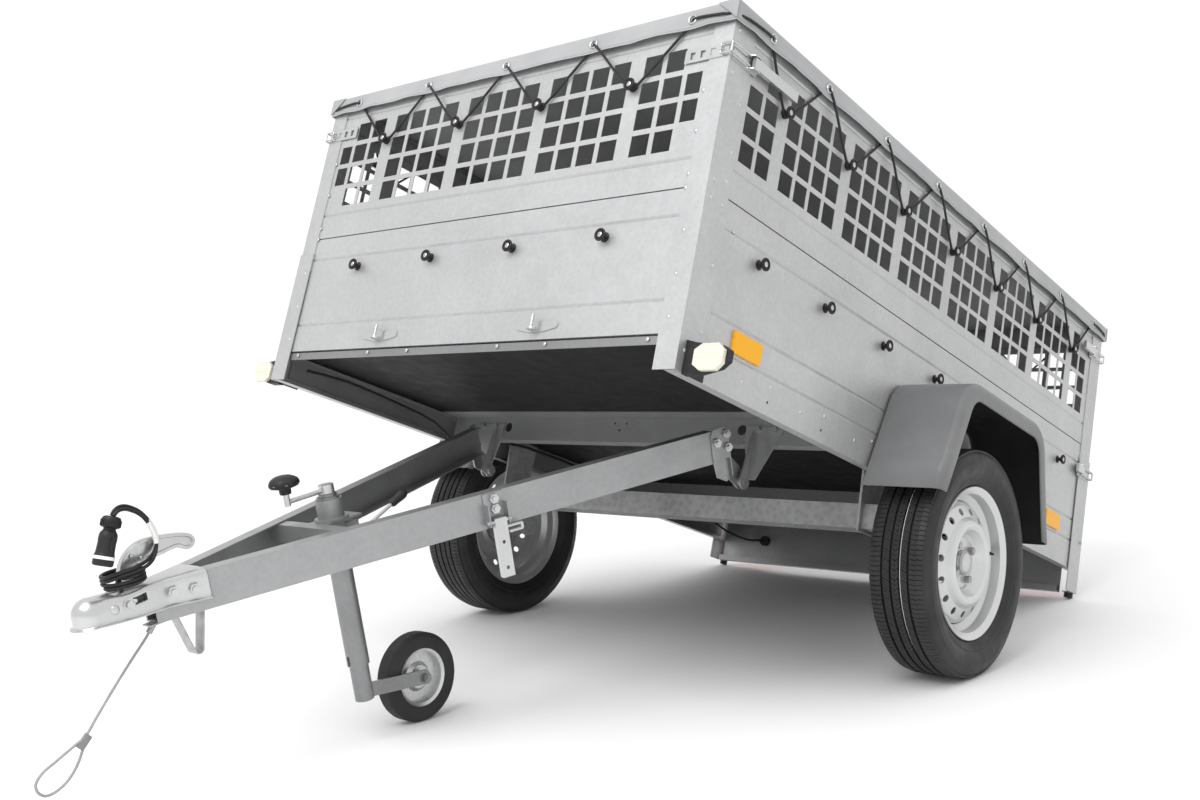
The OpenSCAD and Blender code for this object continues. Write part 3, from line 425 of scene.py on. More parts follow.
def coordinates(tree, kind="Object", scale=(1, 1, 1)):
    place = node(tree, "ShaderNodeTexCoord")
    return node(tree, "ShaderNodeMapping", {"Vector": place.outputs[kind], "Scale": scale}).outputs["Vector"]


def noise_of(tree, vector, scale, detail=4.0, rough=0.55):
    inputs = {"Vector": vector, "Scale": scale, "Detail": detail, "Roughness": rough}
    return node(tree, "ShaderNodeTexNoise", inputs).outputs["Fac"]


def cells_of(tree, vector, scale, random=1.0, **settings):
    inputs = {"Vector": vector, "Scale": scale, "Randomness": random}
    return node(tree, "ShaderNodeTexVoronoi", inputs, **settings).outputs["Distance"]


def bump(tree, shader, height, strength, distance, under=None):
    made = node(tree, "ShaderNodeBump", {"Strength": strength, "Distance": distance, "Height": height})
    if under is not None:
        tree.links.new(under, made.inputs["Normal"])
    tree.links.new(made.outputs["Normal"], shader.inputs["Normal"])
    return made.outputs["Normal"]


def zinc_finish(name, colour, metallic=0.55, rough=(0.36, 0.5), spangle=0.05, mottle=0.06, scale=90.0):
    """Galvanised steel: faint crystal spangle, soft cloudy tone and fine rolled streaks."""
    finish, tree, shader = new_finish(name)
    place = coordinates(tree)
    spangles = ramp(tree, cells_of(tree, place, scale), 1 - spangle, 1 + spangle, 0.0, 0.9)
    clouds = ramp(tree, noise_of(tree, place, 5.0, 6.0), 1 - mottle, 1 + mottle)
    feed(tree, shader, {
        "Base Color": tinted(tree, colour, maths(tree, "MULTIPLY", spangles, clouds)),
        "Metallic": metallic,
        "Roughness": ramp(tree, noise_of(tree, place, 22.0, 5.0), *rough),
    })
    streaks = noise_of(tree, coordinates(tree, scale=(900, 12, 900)), 1.0, 2.0)
    bump(tree, shader, streaks, 0.05, 0.0004)
    return finish


def paint_finish(name, colour, metallic=0.6, rough=(0.28, 0.38)):
    """Sprayed metallic paint with fine flakes and a light clear coat."""
    finish, tree, shader = new_finish(name)
    place = coordinates(tree)
    flakes = ramp(tree, noise_of(tree, place, 1400.0, 2.0), 0.94, 1.06)
    feed(tree, shader, {
        "Base Color": tinted(tree, colour, flakes),
        "Metallic": metallic,
        "Roughness": ramp(tree, noise_of(tree, place, 9.0), *rough),
        "Coat Weight": 0.3,
        "Coat Roughness": 0.15,
    })
    bump(tree, shader, noise_of(tree, place, 260.0, 3.0), 0.06, 0.0004)
    return finish


def rubber_finish(name, colour, rough=(0.5, 0.7), grain=700.0, depth=0.25):
    """Moulded rubber: matt, slightly dusty and finely grained."""
    finish, tree, shader = new_finish(name)
    place = coordinates(tree)
    dust = ramp(tree, noise_of(tree, place, 14.0, 6.0), 0.75, 1.35)
    feed(tree, shader, {
        "Base Color": tinted(tree, colour, dust),
        "Roughness": ramp(tree, noise_of(tree, place, 30.0), *rough),
        "Specular IOR Level": 0.35,
    })
    bump(tree, shader, noise_of(tree, place, grain, 3.0), depth, 0.0005)
    return finish


def plastic_finish(name, colour):
    """Vacuum-formed plastic with a leather-like grain."""
    finish, tree, shader = new_finish(name)
    place = coordinates(tree)
    tone = ramp(tree, noise_of(tree, place, 6.0, 5.0), 0.86, 1.16)
    feed(tree, shader, {
        "Base Color": tinted(tree, colour, tone),
        "Roughness": ramp(tree, noise_of(tree, place, 60.0), 0.36, 0.48),
    })
    bump(tree, shader, cells_of(tree, place, 420.0, feature="DISTANCE_TO_EDGE"), 0.35, 0.0006)
    return finish


def cloth_finish(name, colour):
    """Coated tarpaulin: a fine base weave under a satin skin, on the sheet's own flat coordinates."""
    finish, tree, shader = new_finish(name)
    flat = coordinates(tree, "UV")
    place = coordinates(tree)
    tone = ramp(tree, noise_of(tree, place, 4.0, 6.0), 0.88, 1.12)
    feed(tree, shader, {
        "Base Color": tinted(tree, colour, tone),
        "Roughness": ramp(tree, noise_of(tree, place, 18.0), 0.42, 0.56),
        "Sheen Weight": 0.15,
    })
    threads = [
        node(tree, "ShaderNodeTexWave", {"Vector": flat, "Scale": 260.0}, bands_direction=way).outputs["Fac"]
        for way in "XY"
    ]
    under = bump(tree, shader, maths(tree, "MULTIPLY", *threads), 0.12, 0.0004)
    bump(tree, shader, noise_of(tree, place, 7.0, 3.0), 0.25, 0.012, under)
    return finish


def braid_finish(name, colour, turns=8.0, rows=160.0, depth=0.5):
    """A braided or stranded sheath, on the cord's own coordinates: round it and along it. Its colour is
    darker in the grooves between strands and lighter on their ridges: painted shade and painted highlight.
    """
    finish, tree, shader = new_finish(name)
    place = node(tree, "ShaderNodeTexCoord")
    parts = node(tree, "ShaderNodeSeparateXYZ", {0: place.outputs["UV"]})
    waves = []
    for way in (1, -1):
        around = maths(tree, "MULTIPLY", parts.outputs[0], turns * way * 2 * math.pi)
        along = maths(tree, "MULTIPLY_ADD", parts.outputs[1], rows * 2 * math.pi, around)
        waves.append(maths(tree, "SINE", along))
    highest = maths(tree, "MAXIMUM", *waves)
    # Colour darker in the grooves between strands and lighter on their ridges: painted shade and painted
    # highlight.
    feed(tree, shader, {
        "Base Color": tinted(tree, colour, ramp(tree, highest, 0.6, 1.5, -0.6, 1.0)),
        "Roughness": ramp(tree, highest, 0.75, 0.5, -0.6, 1.0),
    })
    bump(tree, shader, highest, depth, 0.0005)
    return finish


def lens_finish(name, colour, rough=0.12, prisms=190.0):
    """A moulded lens with rows of small prisms behind its smooth face."""
    finish, tree, shader = new_finish(name)
    place = coordinates(tree)
    cells = cells_of(tree, place, prisms, 0.0, distance="CHEBYCHEV")
    feed(tree, shader, {
        "Base Color": tinted(tree, colour, ramp(tree, cells, 1.12, 0.82, 0.0, 0.5)),
        "Roughness": ramp(tree, noise_of(tree, place, 40.0), rough, rough + 0.06),
        "Specular IOR Level": 0.25,
        "Coat Weight": 0.1,
        "Coat Roughness": 0.06,
    })
    bump(tree, shader, cells, 0.3, 0.0008)
    return finish


def board_finish(name, colour):
    """Film-faced board with a fine wire-mesh print."""
    finish, tree, shader = new_finish(name)
    place = coordinates(tree)
    tone = ramp(tree, noise_of(tree, place, 8.0, 6.0), 0.7, 1.4)
    feed(tree, shader, {
        "Base Color": tinted(tree, colour, tone),
        "Roughness": ramp(tree, noise_of(tree, place, 20.0), 0.55, 0.7),
        "Specular IOR Level": 0.2,
    })
    bump(tree, shader, cells_of(tree, place, 220.0, 0.1), 0.3, 0.0008)
    return finish


def shade(colour, factor):
    return [value * factor for value in colour[:3]] + [1]


# The finish of each material slot of the record, and the few sub-parts that differ from their slot.
SLOT_FINISH = {
    "zinc_sheet": "Zinc_Sheet", "zinc_shaded": "Zinc_Shaded", "hot_dip_zinc": "Zinc_Hot_Dip",
    "zinc_plate": "Zinc_Plate", "bright_zinc": "Zinc_Bright", "silver_paint": "Silver_Paint",
    "tyre_rubber": "Tyre_Rubber", "wheel_rubber": "Wheel_Rubber", "grey_plastic": "Grained_Plastic",
    "black_rubber": "Black_Rubber", "shock_cord": "Braided_Elastic", "wire_rope": "Wire_Rope",
    "cover_sheet": "Cover_Cloth", "film_board": "Film_Board", "red_lens": "Red_Lens",
    "clear_lens": "Clear_Lens", "amber_lens": "Amber_Lens",
}
NODE_FINISH = {
    # The jockey tube and leg take plate zinc darkened for painted shade.
    "jockey_tube": "Zinc_Tube_Painted_Shade", "jockey_leg": "Zinc_Tube_Painted_Shade", "jockey_rim": "Zinc_Wheel",
    "hinge_brackets": "Zinc_Plate", "light_panel": "Zinc_Plate",
}


def make_finishes():
    c = colours()
    made = [
        zinc_finish("Zinc_Sheet", c.zinc),
        # The underframe zinc is the sheet zinc darkened: painted shade.
        zinc_finish("Zinc_Shaded", c.zinc_painted_shade, rough=(0.45, 0.6)),
        zinc_finish("Zinc_Hot_Dip", c.dipped, rough=(0.4, 0.62), spangle=0.16, mottle=0.16, scale=60.0),
        zinc_finish("Zinc_Plate", c.plate, 0.7, (0.3, 0.46), 0.04, 0.08),
        zinc_finish("Zinc_Bright", c.bright, 0.85, (0.22, 0.34), 0.02, 0.05, 160.0),
        paint_finish("Silver_Paint", c.silver),
        rubber_finish("Tyre_Rubber", c.tyre, (0.42, 0.6), 500.0, 0.2),
        rubber_finish("Wheel_Rubber", c.tyre, (0.55, 0.75)),
        plastic_finish("Grained_Plastic", c.guard),
        rubber_finish("Black_Rubber", c.rubber, (0.4, 0.55), 900.0, 0.15),
        braid_finish("Braided_Elastic", c.rubber, 8.0, 160.0),
        braid_finish("Wire_Rope", shade(c.bright, 0.6), 12.0, 300.0, 0.3),
        cloth_finish("Cover_Cloth", c.cover),
        board_finish("Film_Board", shade(c.rubber, 0.5)),
        lens_finish("Red_Lens", c.red),
        lens_finish("Clear_Lens", c.clear, 0.16, 120.0),
        lens_finish("Amber_Lens", c.amber, 0.2),
        paint_finish("Pale_Plastic", (0.78, 0.78, 0.76, 1), 0.0, (0.4, 0.5)),
        # The jockey tube's zinc is the plate colour darkened to 0.72: painted shade.
        zinc_finish("Zinc_Tube_Painted_Shade", shade(c.plate, 0.72), 0.75, (0.26, 0.4), 0.04, 0.14),
        zinc_finish("Zinc_Wheel", c.bright, 0.8, (0.24, 0.36), 0.05, 0.12),
        # The mudguard's inside is near-black though its plastic is the same as outside: painted shade.
        rubber_finish("Guard_Underside_Painted_Shade", c.rubber, (0.5, 0.7), 420.0, 0.3),
        zinc_finish("Dark_Steel", (0.05, 0.05, 0.055, 1), 0.6, (0.4, 0.55)),
        cloth_finish("Cover_Hem", shade(c.cover, 1.35)),
    ]
    for finish in made:
        FINISHES[finish.name] = finish
    FINISHES["Wire_Rope"].node_tree.nodes["Principled BSDF"].inputs["Metallic"].default_value = 0.7


# ---- repeated fittings, by geometry nodes ----
def new_tree(name, numbers, integers=()):
    """An empty geometry tree with named inputs, its group input and its output."""
    tree = bpy.data.node_groups.new(name, "GeometryNodeTree")
    tree.interface.new_socket("Geometry", in_out="INPUT", socket_type="NodeSocketGeometry")
    for label, value in numbers:
        socket = tree.interface.new_socket(label, in_out="INPUT", socket_type="NodeSocketFloat")
        socket.default_value = value
    for label, value in integers:
        socket = tree.interface.new_socket(label, in_out="INPUT", socket_type="NodeSocketInt")
        socket.default_value = value
    tree.interface.new_socket("Geometry", in_out="OUTPUT", socket_type="NodeSocketGeometry")
    return tree, tree.nodes.new("NodeGroupInput"), tree.nodes.new("NodeGroupOutput")


def end_tree(tree, geometry, output, finish):
    solid = node(tree, "GeometryNodeRealizeInstances", {"Geometry": geometry})
    inputs = {"Geometry": solid.outputs["Geometry"], "Material": FINISHES[finish]}
    finished = node(tree, "GeometryNodeSetMaterial", inputs)
    tree.links.new(finished.outputs["Geometry"], output.inputs[0])


def on_points(tree, points, shape):
    """Stands a shape on each point, its Z along the point's 'facing'."""
    facing = node(tree, "GeometryNodeInputNamedAttribute", {"Name": "facing"}, data_type="FLOAT_VECTOR")
    align = node(tree, "FunctionNodeAlignRotationToVector", {"Vector": facing.outputs[0]}, axis="Z")
    inputs = {"Points": points, "Instance": shape, "Rotation": align.outputs[0]}
    return node(tree, "GeometryNodeInstanceOnPoints", inputs).outputs["Instances"]


def rivet_tree(finish):
    """Flat domes."""
    tree, source, output = new_tree("Rivets", [("Radius", 0.0048), ("Height", 0.0022)])
    ball = node(tree, "GeometryNodeMeshUVSphere", {"Segments": 14, "Rings": 8, "Radius": 1.0})
    radius = source.outputs["Radius"]
    size = node(tree, "ShaderNodeCombineXYZ", {"X": radius, "Y": radius, "Z": source.outputs["Height"]})
    dome = node(tree, "GeometryNodeTransform", {"Geometry": ball.outputs["Mesh"], "Scale": size.outputs[0]})
    stood = on_points(tree, source.outputs["Geometry"], dome.outputs["Geometry"])
    end_tree(tree, stood, output, finish)
    return tree


def bolt_tree(finish):
    """Hexagon heads on washers."""
    tree, source, output = new_tree("Hex_bolts", [("Across", 0.013), ("Height", 0.005)])
    across, height = source.outputs["Across"], source.outputs["Height"]
    corner_radius, washer_radius, washer_lift = 0.577, 0.9, 0.0014
    head = node(tree, "GeometryNodeMeshCylinder", {
        "Vertices": 6, "Radius": maths(tree, "MULTIPLY", across, corner_radius), "Depth": height,
    })
    washer = node(tree, "GeometryNodeMeshCylinder", {
        "Vertices": 24, "Radius": maths(tree, "MULTIPLY", across, washer_radius), "Depth": 0.0016,
    })
    lift = node(tree, "ShaderNodeCombineXYZ", {"Z": maths(tree, "MULTIPLY_ADD", height, 0.5, washer_lift)})
    raised = node(tree, "GeometryNodeTransform", {
        "Geometry": head.outputs["Mesh"], "Translation": lift.outputs[0],
    })
    both = tree.nodes.new("GeometryNodeJoinGeometry")
    tree.links.new(raised.outputs["Geometry"], both.inputs[0])
    tree.links.new(washer.outputs["Mesh"], both.inputs[0])
    stood = on_points(tree, source.outputs["Geometry"], both.outputs[0])
    end_tree(tree, stood, output, finish)
    return tree


def ring_tree(finish):
    """Round rings of wire."""
    tree, source, output = new_tree("Eyelets", [("Radius", 0.0095), ("Wire", 0.0026)])
    circle, wire = (
        node(tree, "GeometryNodeCurvePrimitiveCircle", {"Resolution": sides, "Radius": source.outputs[label]})
        for sides, label in ((24, "Radius"), (8, "Wire"))
    )
    ring = node(tree, "GeometryNodeCurveToMesh", {
        "Curve": circle.outputs["Curve"], "Profile Curve": wire.outputs["Curve"],
    })
    stood = on_points(tree, source.outputs["Geometry"], ring.outputs["Mesh"])
    end_tree(tree, stood, output, finish)
    return tree


def part_tree(name, part, finish):
    """Stands copies of one part on the points. The part is a mesh in metres, its Z along 'facing'."""
    tree, source, output = new_tree(name, [("Scale", 1.0)])
    pattern = link(name + "_part", part)
    given = node(tree, "GeometryNodeObjectInfo", {"Object": pattern})
    spread = node(tree, "ShaderNodeCombineXYZ", {axis: source.outputs["Scale"] for axis in "XYZ"})
    sized = node(tree, "GeometryNodeTransform", {
        "Geometry": given.outputs["Geometry"], "Scale": spread.outputs[0],
    })
    stood = on_points(tree, source.outputs["Geometry"], sized.outputs["Geometry"])
    end_tree(tree, stood, output, finish)
    return tree, pattern


def round_tree(name, count, finish):
    """Repeats the mesh that it grows on, round the X axis."""
    tree, source, output = new_tree(name, [], [("Count", count)])
    dots = node(tree, "GeometryNodeMeshLine", {"Offset": (0, 0, 0), "Count": source.outputs["Count"]})
    index = tree.nodes.new("GeometryNodeInputIndex")
    step = maths(tree, "DIVIDE", 2 * math.pi, source.outputs["Count"])
    angles = node(tree, "ShaderNodeCombineXYZ", {"X": maths(tree, "MULTIPLY", index.outputs[0], step)})
    to_rotation = node(tree, "FunctionNodeEulerToRotation", {0: angles.outputs[0]})
    stand = node(tree, "GeometryNodeInstanceOnPoints", {
        "Points": dots.outputs["Mesh"], "Rotation": to_rotation.outputs[0],
        "Instance": source.outputs["Geometry"],
    })
    end_tree(tree, stand.outputs["Instances"], output, finish)
    return tree


def grown(name, mesh, tree, values):
    """Runs a tree on a mesh with its inputs set, and gives the result as a plain mesh."""
    holder = link(name + "_seed", mesh)
    growth = holder.modifiers.new("Grow", "NODES")
    growth.node_group = tree
    for item in tree.interface.items_tree:
        if item.item_type == "SOCKET" and item.in_out == "INPUT" and item.name in values:
            growth[item.identifier] = values[item.name]
    graph = bpy.context.evaluated_depsgraph_get()
    made = bpy.data.meshes.new_from_object(holder.evaluated_get(graph))
    made.name = name
    holder.modifiers.clear()
    bpy.data.objects.remove(holder)
    return made


def points_mesh(name, spots, place):
    """Vertices with a 'facing' attribute, from (point, direction) pairs in one place's millimetres."""
    level = place.to_3x3().normalized()
    mesh = bpy.data.meshes.new(name)
    mesh.from_pydata([tuple(place @ Vector(p)) for p, _ in spots], [], [])
    facing = mesh.attributes.new("facing", "FLOAT_VECTOR", "POINT")
    for item, (_, direction) in zip(facing.data, spots):
        item.vector = level @ Vector(direction)
    return mesh


def fittings(name, spots, place, kind, values, finish, body):
    """Grows one kind of fitting on the spots and finishes it as one piece."""
    mesh = grown(name, points_mesh(name, spots, place), kind(finish), values)
    return finish_piece(name, mesh, AS_IT_IS, finish, body)


def both_sides(spots):
    return spots + [((-x, y, z), (-a, b, c)) for (x, y, z), (a, b, c) in spots]


# ---- pieces ----
class TrailerCamera(bpy.types.Operator):
    """Make the camera at its place in front of the trailer's right-hand corner."""

    bl_idname = "trailer.camera"
    bl_label = "Camera"

    def execute(self, context):
        s = sizes()
        data = bpy.data.cameras.new("Trailer_Camera")
        data.sensor_width = 36
        data.lens = s.focal_length
        data.shift_x = 0.01667
        data.shift_y = 0.00812
        data.clip_end = 60
        camera = bpy.data.objects.new("Trailer_Camera", data)
        context.scene.collection.objects.link(camera)
        camera.location = s.camera_place
        camera.rotation_euler = s.camera_turn
        context.scene.camera = camera
        return {"FINISHED"}


def coil_path(start, first, last, height):
    """Out of the shell's hole, on to the ring and round it, in the drawbar's millimetres."""
    inner, outer, spread_over = 22.6, 37.5, 40
    route = [Vector((start[0], start[1], z)) for z in (50, 53)]
    steps = int((last - first) / 24)
    for k in range(steps + 1):
        angle = first + (last - first) * k / steps
        out = min(1.0, max(0.0, (angle - first) / spread_over))
        radius = inner + (outer - inner) * out * out * (3 - 2 * out)
        a = math.radians(angle)
        route.append(Vector((radius * math.cos(a), COIL_Y + radius * math.sin(a), height(angle))))
    return route


class TrailerCableLeads(bpy.types.Operator):
    """Make the two leads, wound round the coupling handle and parked in the plug."""

    bl_idname = "trailer.cable_leads"
    bl_label = "Cable leads and plug"

    def execute(self, context):
        diameter = sizes().cable_diameter
        ground = 62.8 + CABLE * 135 / 360

        def low(angle):
            step = min(1.0, max(0.0, (angle - 640) / 50))
            return ground + CABLE * angle / 360 + CABLE * step

        def high(angle):
            return low(angle) + 7.05

        plug = self.plug()
        for name, start, first, last, height, tail in (
            ("Lead_right", (16, -745), 315, 722, high, LEAD_A_TAIL),
            ("Lead_left", (-16, -745), -135, 722, low, LEAD_B_TAIL),
        ):
            route = curve_through(coil_path(start, first, last, height) + [Vector(p) for p in tail], 3)
            route = [DRAWBAR @ p for p in route]
            mesh = sweep(name, route, diameter / 2, 14)
            lead = finish_piece(name, mesh, AS_IT_IS, "Black_Rubber", "drawbar")
            sleeve = sweep(name + "_sleeve", route[-28:-19], diameter * 0.66, 20)
            sleeve = finish_piece(name + "_sleeve", sleeve, AS_IT_IS, "Pale_Plastic", "drawbar")
            with_plug = name == "Lead_left"
            if with_plug:
                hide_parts("cable_lead", "cable_coil")
        return {"FINISHED"}

    def plug(self):
        place = DRAWBAR @ Matrix.Translation((28, -758, 154)) @ turn("X", -25)
        body = lathe_z("Plug", [
            (0, -45), (15, -45), (18, -43), (18.6, -40), (18.6, -26), (17.4, -24), (16.6, -20), (16, -4),
            (16.6, 4), (16, 12), (14, 16), (11, 20), (11, 23), (15, 24), (17.4, 26), (17.6, 38), (15, 43),
            (10, 45), (0, 45),
        ], 48)
        ribs = []
        for k in range(24):
            rib = brick("rib", (17.2, -0.9, 26), (18.4, 0.9, 38), 0.3, 1)
            ribs.append(moved(rib, turn("Z", 15 * k)))
        wings = [
            moved(brick("wing", (14, -2.5, -16), (19, 2.5, 6), 1.2), turn("Z", a))
            for a in (0, 180)
        ]
        mesh = joined("Plug", [body] + ribs + wings)
        plug = finish_piece("Plug", mesh, place, "Black_Rubber", "drawbar",
                            replaced=["plug"])
        ring = lathe_z("Plug_ring", [(17.9, -33), (19.2, -33), (19.2, -27), (17.9, -27)], 48)
        outward(ring)
        finish_piece("Plug_ring", ring, place, "Pale_Plastic", "drawbar")
        return plug


class TrailerSafetyRope(bpy.types.Operator):
    """Make the stranded safety rope with the ferrule at its eye."""

    bl_idname = "trailer.safety_rope"
    bl_label = "Safety rope"

    def execute(self, context):
        diameter = sizes().rope_diameter
        route = [DRAWBAR @ p for p in curve_through(ROPE_ROUTE, 14)]
        mesh = sweep("Safety_rope", route, diameter / 2 * 1.06, 24, lobes=6, lay=230)
        rope = finish_piece(
            "Safety_rope", mesh, AS_IT_IS, "Wire_Rope", "drawbar", angle=80,
            replaced=["safety_rope"],
        )
        profile = []
        for k in range(20):
            a = 2 * math.pi * k / 20
            profile.append((8.5 * math.cos(a), 4.6 * math.sin(a)))
        ferrule = slab("Rope_ferrule", profile, 28, 1.4, 3)
        place = (
            DRAWBAR
            @ Matrix.Translation((0, -864, -188))
            @ turn("X", -51)
            @ Matrix.Translation((0, 0, -14))
            @ turn("Z", 90)
        )
        ferrule = finish_piece("Rope_ferrule", ferrule, place, "Zinc_Shaded", "drawbar")
        return {"FINISHED"}


class TrailerCoupling(bpy.types.Operator):
    """Make the pressed coupling shell with its window, and the channel-shaped coupling handle."""

    bl_idname = "trailer.coupling"
    bl_label = "Coupling shell and handle"

    def execute(self, context):
        mesh = self.shell()
        made = finish_piece("Coupling_skin", mesh, DRAWBAR, "Zinc_Bright", "drawbar",
                            angle=50, replaced=["coupling_shell"])
        wall = made.modifiers.new("Thickness", "SOLIDIFY")
        wall.thickness = 0.0035
        wall.offset = -1
        lever = self.handle()
        finish_piece("Coupling_lever", lever, DRAWBAR, "Zinc_Bright", "coupling_handle",
                     angle=30, replaced=["coupling_handle"])
        spots = both_sides([((7.2, -708, 108), (1, 0, 0)), ((7.2, -690, 100), (1, 0, 0))])
        fittings("Lever_rivets", spots, DRAWBAR, rivet_tree,
                 {"Radius": 0.0042, "Height": 0.002}, "Zinc_Bright", "coupling_handle")
        bosses = both_sides([((31.8, -772, 30), (1, 0, 0))])
        fittings("Coupling_bosses", bosses, DRAWBAR, rivet_tree,
                 {"Radius": 0.0085, "Height": 0.0026}, "Zinc_Bright", "drawbar")
        bolts = both_sides([((32.2, -744, 31), (1, 0, 0))])
        fittings("Window_bolts", bolts, DRAWBAR, bolt_tree,
                 {"Across": 0.013, "Height": 0.005}, "Zinc_Bright", "drawbar")
        plungers = joined("Plungers", [
            brick("plunger", (x, -734, 27), (x + 3, -708, 39), 1.0) for x in (-25.5, 22.5)
        ])
        finish_piece("Plungers", plungers, DRAWBAR, "Dark_Steel", "drawbar")
        return {"FINISHED"}

    def shell(self):
        """A half section swept forward along one side, round the nose and back along the other."""
        ball, straight, rear = -806, -667, -592
        along = [rear + (ball - rear) * k / 71 for k in range(72)]
        stations = [(y, 90) for y in along]
        stations += [(ball, 90 - 180 * k / 24) for k in range(1, 24)]
        stations += [(y, -90) for y in reversed(along)]

        def section(y):
            near = max(0.0, min(1.0, (-700 - y) / 106))
            flare = max(0.0, y - straight) * math.tan(ARM_ANGLE)
            half = 32 - near + flare
            top = 54.4 + 6.6 * near ** 2
            shoulder = 20 + 11 * near
            power = 5 - 3 * near ** 0.7
            lip = 1 + 8 * near ** 1.5 - 5 * max(0.0, min(1.0, (y - straight) / 75))
            line = []
            for k in range(13):
                a = math.radians(90 * k / 12)
                rise = shoulder * math.cos(a) ** (2 / power)
                line.append((half * math.sin(a) ** (2 / power), top - shoulder + rise))
            foot = lip + 6
            side = [0.12, 0.24, 0.36, 0.48, 0.60, 0.72, 0.84, 1]
            line += [(half, (top - shoulder) * (1 - t) + foot * t) for t in side]
            out = 5.5
            for k in range(1, 6):
                a = math.radians(90 * k / 5)
                line.append((half + out * (1 - math.cos(a)), foot - 4 * math.sin(a)))
            return line + [(half + out + 1, lip + 0.6), (half + out + 1, lip)]

        points, rows = [], []
        for y, turned in stations:
            a = math.radians(turned)
            row = []
            for across, z in section(y):
                row.append(len(points))
                points.append((across * math.sin(a), y - across * math.cos(a), z))
            rows.append(row)
        faces = []
        for i in range(len(rows) - 1):
            for j in range(len(rows[0]) - 1):
                face = (rows[i][j], rows[i][j + 1], rows[i + 1][j + 1], rows[i + 1][j])
                centre = sum((Vector(points[k]) for k in face), Vector()) / 4
                window = -738 < centre.y < -706 and 26 < centre.z < 39 and abs(centre.x) > 30
                neck = -762 < centre.y < -698 and abs(centre.x) < 9 and centre.z > 45
                if not window and not neck:
                    faces.append(face)
        mesh = mesh_of("Coupling_skin", points, faces)
        outward(mesh, 0.01)
        top_face = max(mesh.polygons, key=lambda face: face.center.z)
        if top_face.normal.z < 0:
            mesh.flip_normals()
        return mesh

    def handle(self):
        y, z = -732, 34
        outline = [(y + 12 * math.cos(math.radians(a)), z + 12 * math.sin(math.radians(a)))
                   for a in range(190, 331, 14)]
        outline += rounded_open([
            (-706, 62), (-700, 85), (-676, 93), (-650, 93), (-630, 96), (-612, 97), (-602, 89), (-592, 86),
            (-580, 90), (-574, 102), (-584, 116), (-610, 124), (-662, 132), (-690, 131), (-715, 119),
            (-733, 100), (-744, 64),
        ])
        mesh = slab("lever", outline, 14, 1.6, 3)
        shape = bmesh.new()
        shape.from_mesh(mesh)
        shape.faces.ensure_lookup_table()
        cheeks = sorted(shape.faces, key=lambda f: -f.calc_area())[:2]
        bmesh.ops.inset_individual(shape, faces=cheeks, thickness=4.2, depth=0)
        bmesh.ops.inset_individual(shape, faces=cheeks, thickness=1.5, depth=-3.2)
        shape.to_mesh(mesh)
        shape.free()
        mesh.transform(Matrix(((0, 0, 1, -7), (1, 0, 0, 0), (0, 1, 0, 0), (0, 0, 0, 1))))
        pin = lathe("pin", [(0, -35), (3.2, -35), (4, -34), (4, 34), (3.2, 35), (0, 35)], 24, closed=False)
        pin.transform(Matrix.Translation((0, y, z)))
        return joined("Coupling_lever", [mesh, pin])


class TrailerGrips(bpy.types.Operator):
    """Make the dark crank knob and the clamp lever's grip."""

    bl_idname = "trailer.grips"
    bl_label = "Crank knob and lever grip"

    def execute(self, context):
        knob = lathe_z("Crank_knob", [
            (0, 127.4), (9.5, 127.4), (11.6, 128.4), (12.2, 132), (12.4, 139.6), (20, 141.4), (27.6, 143.6),
            (30.4, 146.4), (31.6, 150), (31, 154), (28.4, 158.6), (23, 162.4), (16.2, 165.6), (8, 167.2),
            (0, 167.6),
        ], 48)
        shape = bmesh.new()
        shape.from_mesh(knob)
        for vert in shape.verts:
            radius = math.hypot(vert.co.x, vert.co.y)
            if radius > 22:
                wave = 1 + 0.025 * math.cos(7 * math.atan2(vert.co.y, vert.co.x))
                vert.co.x *= wave
                vert.co.y *= wave
        shape.to_mesh(knob)
        shape.free()
        finish_piece("Crank_knob", knob, DRAWBAR @ Matrix.Translation((0, CRANK_Y, 0)),
                     "Black_Rubber", "jockey_crank")
        grip = lathe_z("Clamp_grip", [
            (0, 90), (5.6, 90), (7.2, 92), (8.8, 96), (8.6, 104), (9.4, 114), (10.2, 124), (9.6, 131),
            (7, 136), (3.4, 138.4), (0, 139),
        ], 32)
        place = DRAWBAR @ Matrix.Translation(CLAMP_LEVER) @ turn("X", -70)
        finish_piece("Clamp_grip", grip, place, "Black_Rubber", "clamp_lever")
        return {"FINISHED"}


class TrailerSurfaces(bpy.types.Operator):
    """Give every sub-part of the frame its finish."""

    bl_idname = "trailer.surfaces"
    bl_label = "Finishes of the frame"

    def execute(self, context):
        for part in frame["record"]["subparts"]:
            shown = frame["nodes"][part["node"]]
            finish = NODE_FINISH.get(part["node"], SLOT_FINISH[part["material_slot"]])
            shown.data.materials.clear()
            shown.data.materials.append(FINISHES[finish])
        return {"FINISHED"}


def cover_outline():
    """The top's edge as a loop of points with their way outwards."""
    nx, ny = COVER_CELLS
    wide, long = 2 * COVER_X, COVER_REAR - COVER_FRONT
    loop = []
    for i in range(nx):
        loop.append(((-COVER_X + wide * i / nx, COVER_FRONT), (-1 if i == 0 else 0, -1)))
    for j in range(ny):
        loop.append(((COVER_X, COVER_FRONT + long * j / ny), (1, -1 if j == 0 else 0)))
    for i in range(nx):
        loop.append(((COVER_X - wide * i / nx, COVER_REAR), (1 if i == 0 else 0, 1)))
    for j in range(ny):
        loop.append(((-COVER_X, COVER_REAR - long * j / ny), (-1, 1 if j == 0 else 0)))
    return [(Vector(point + (0,)), Vector(way + (0,))) for point, way in loop]


def pull_at(point):
    """How near an eyelet is along the cover's edge, from 0 to 1."""
    if abs(point.x) > 650:
        near = min(min(abs(point.y - y) for y in LACE_YS), abs(point.y), abs(point.y - 2100))
    else:
        near = min(min(abs(point.x - x) for x in LACE_XS), 664 - abs(point.x))
    return math.exp(-((near / 45) ** 2))


def loose_wave(point):
    return noise.noise(Vector((point.x / 70, point.y / 70, 5.5)))


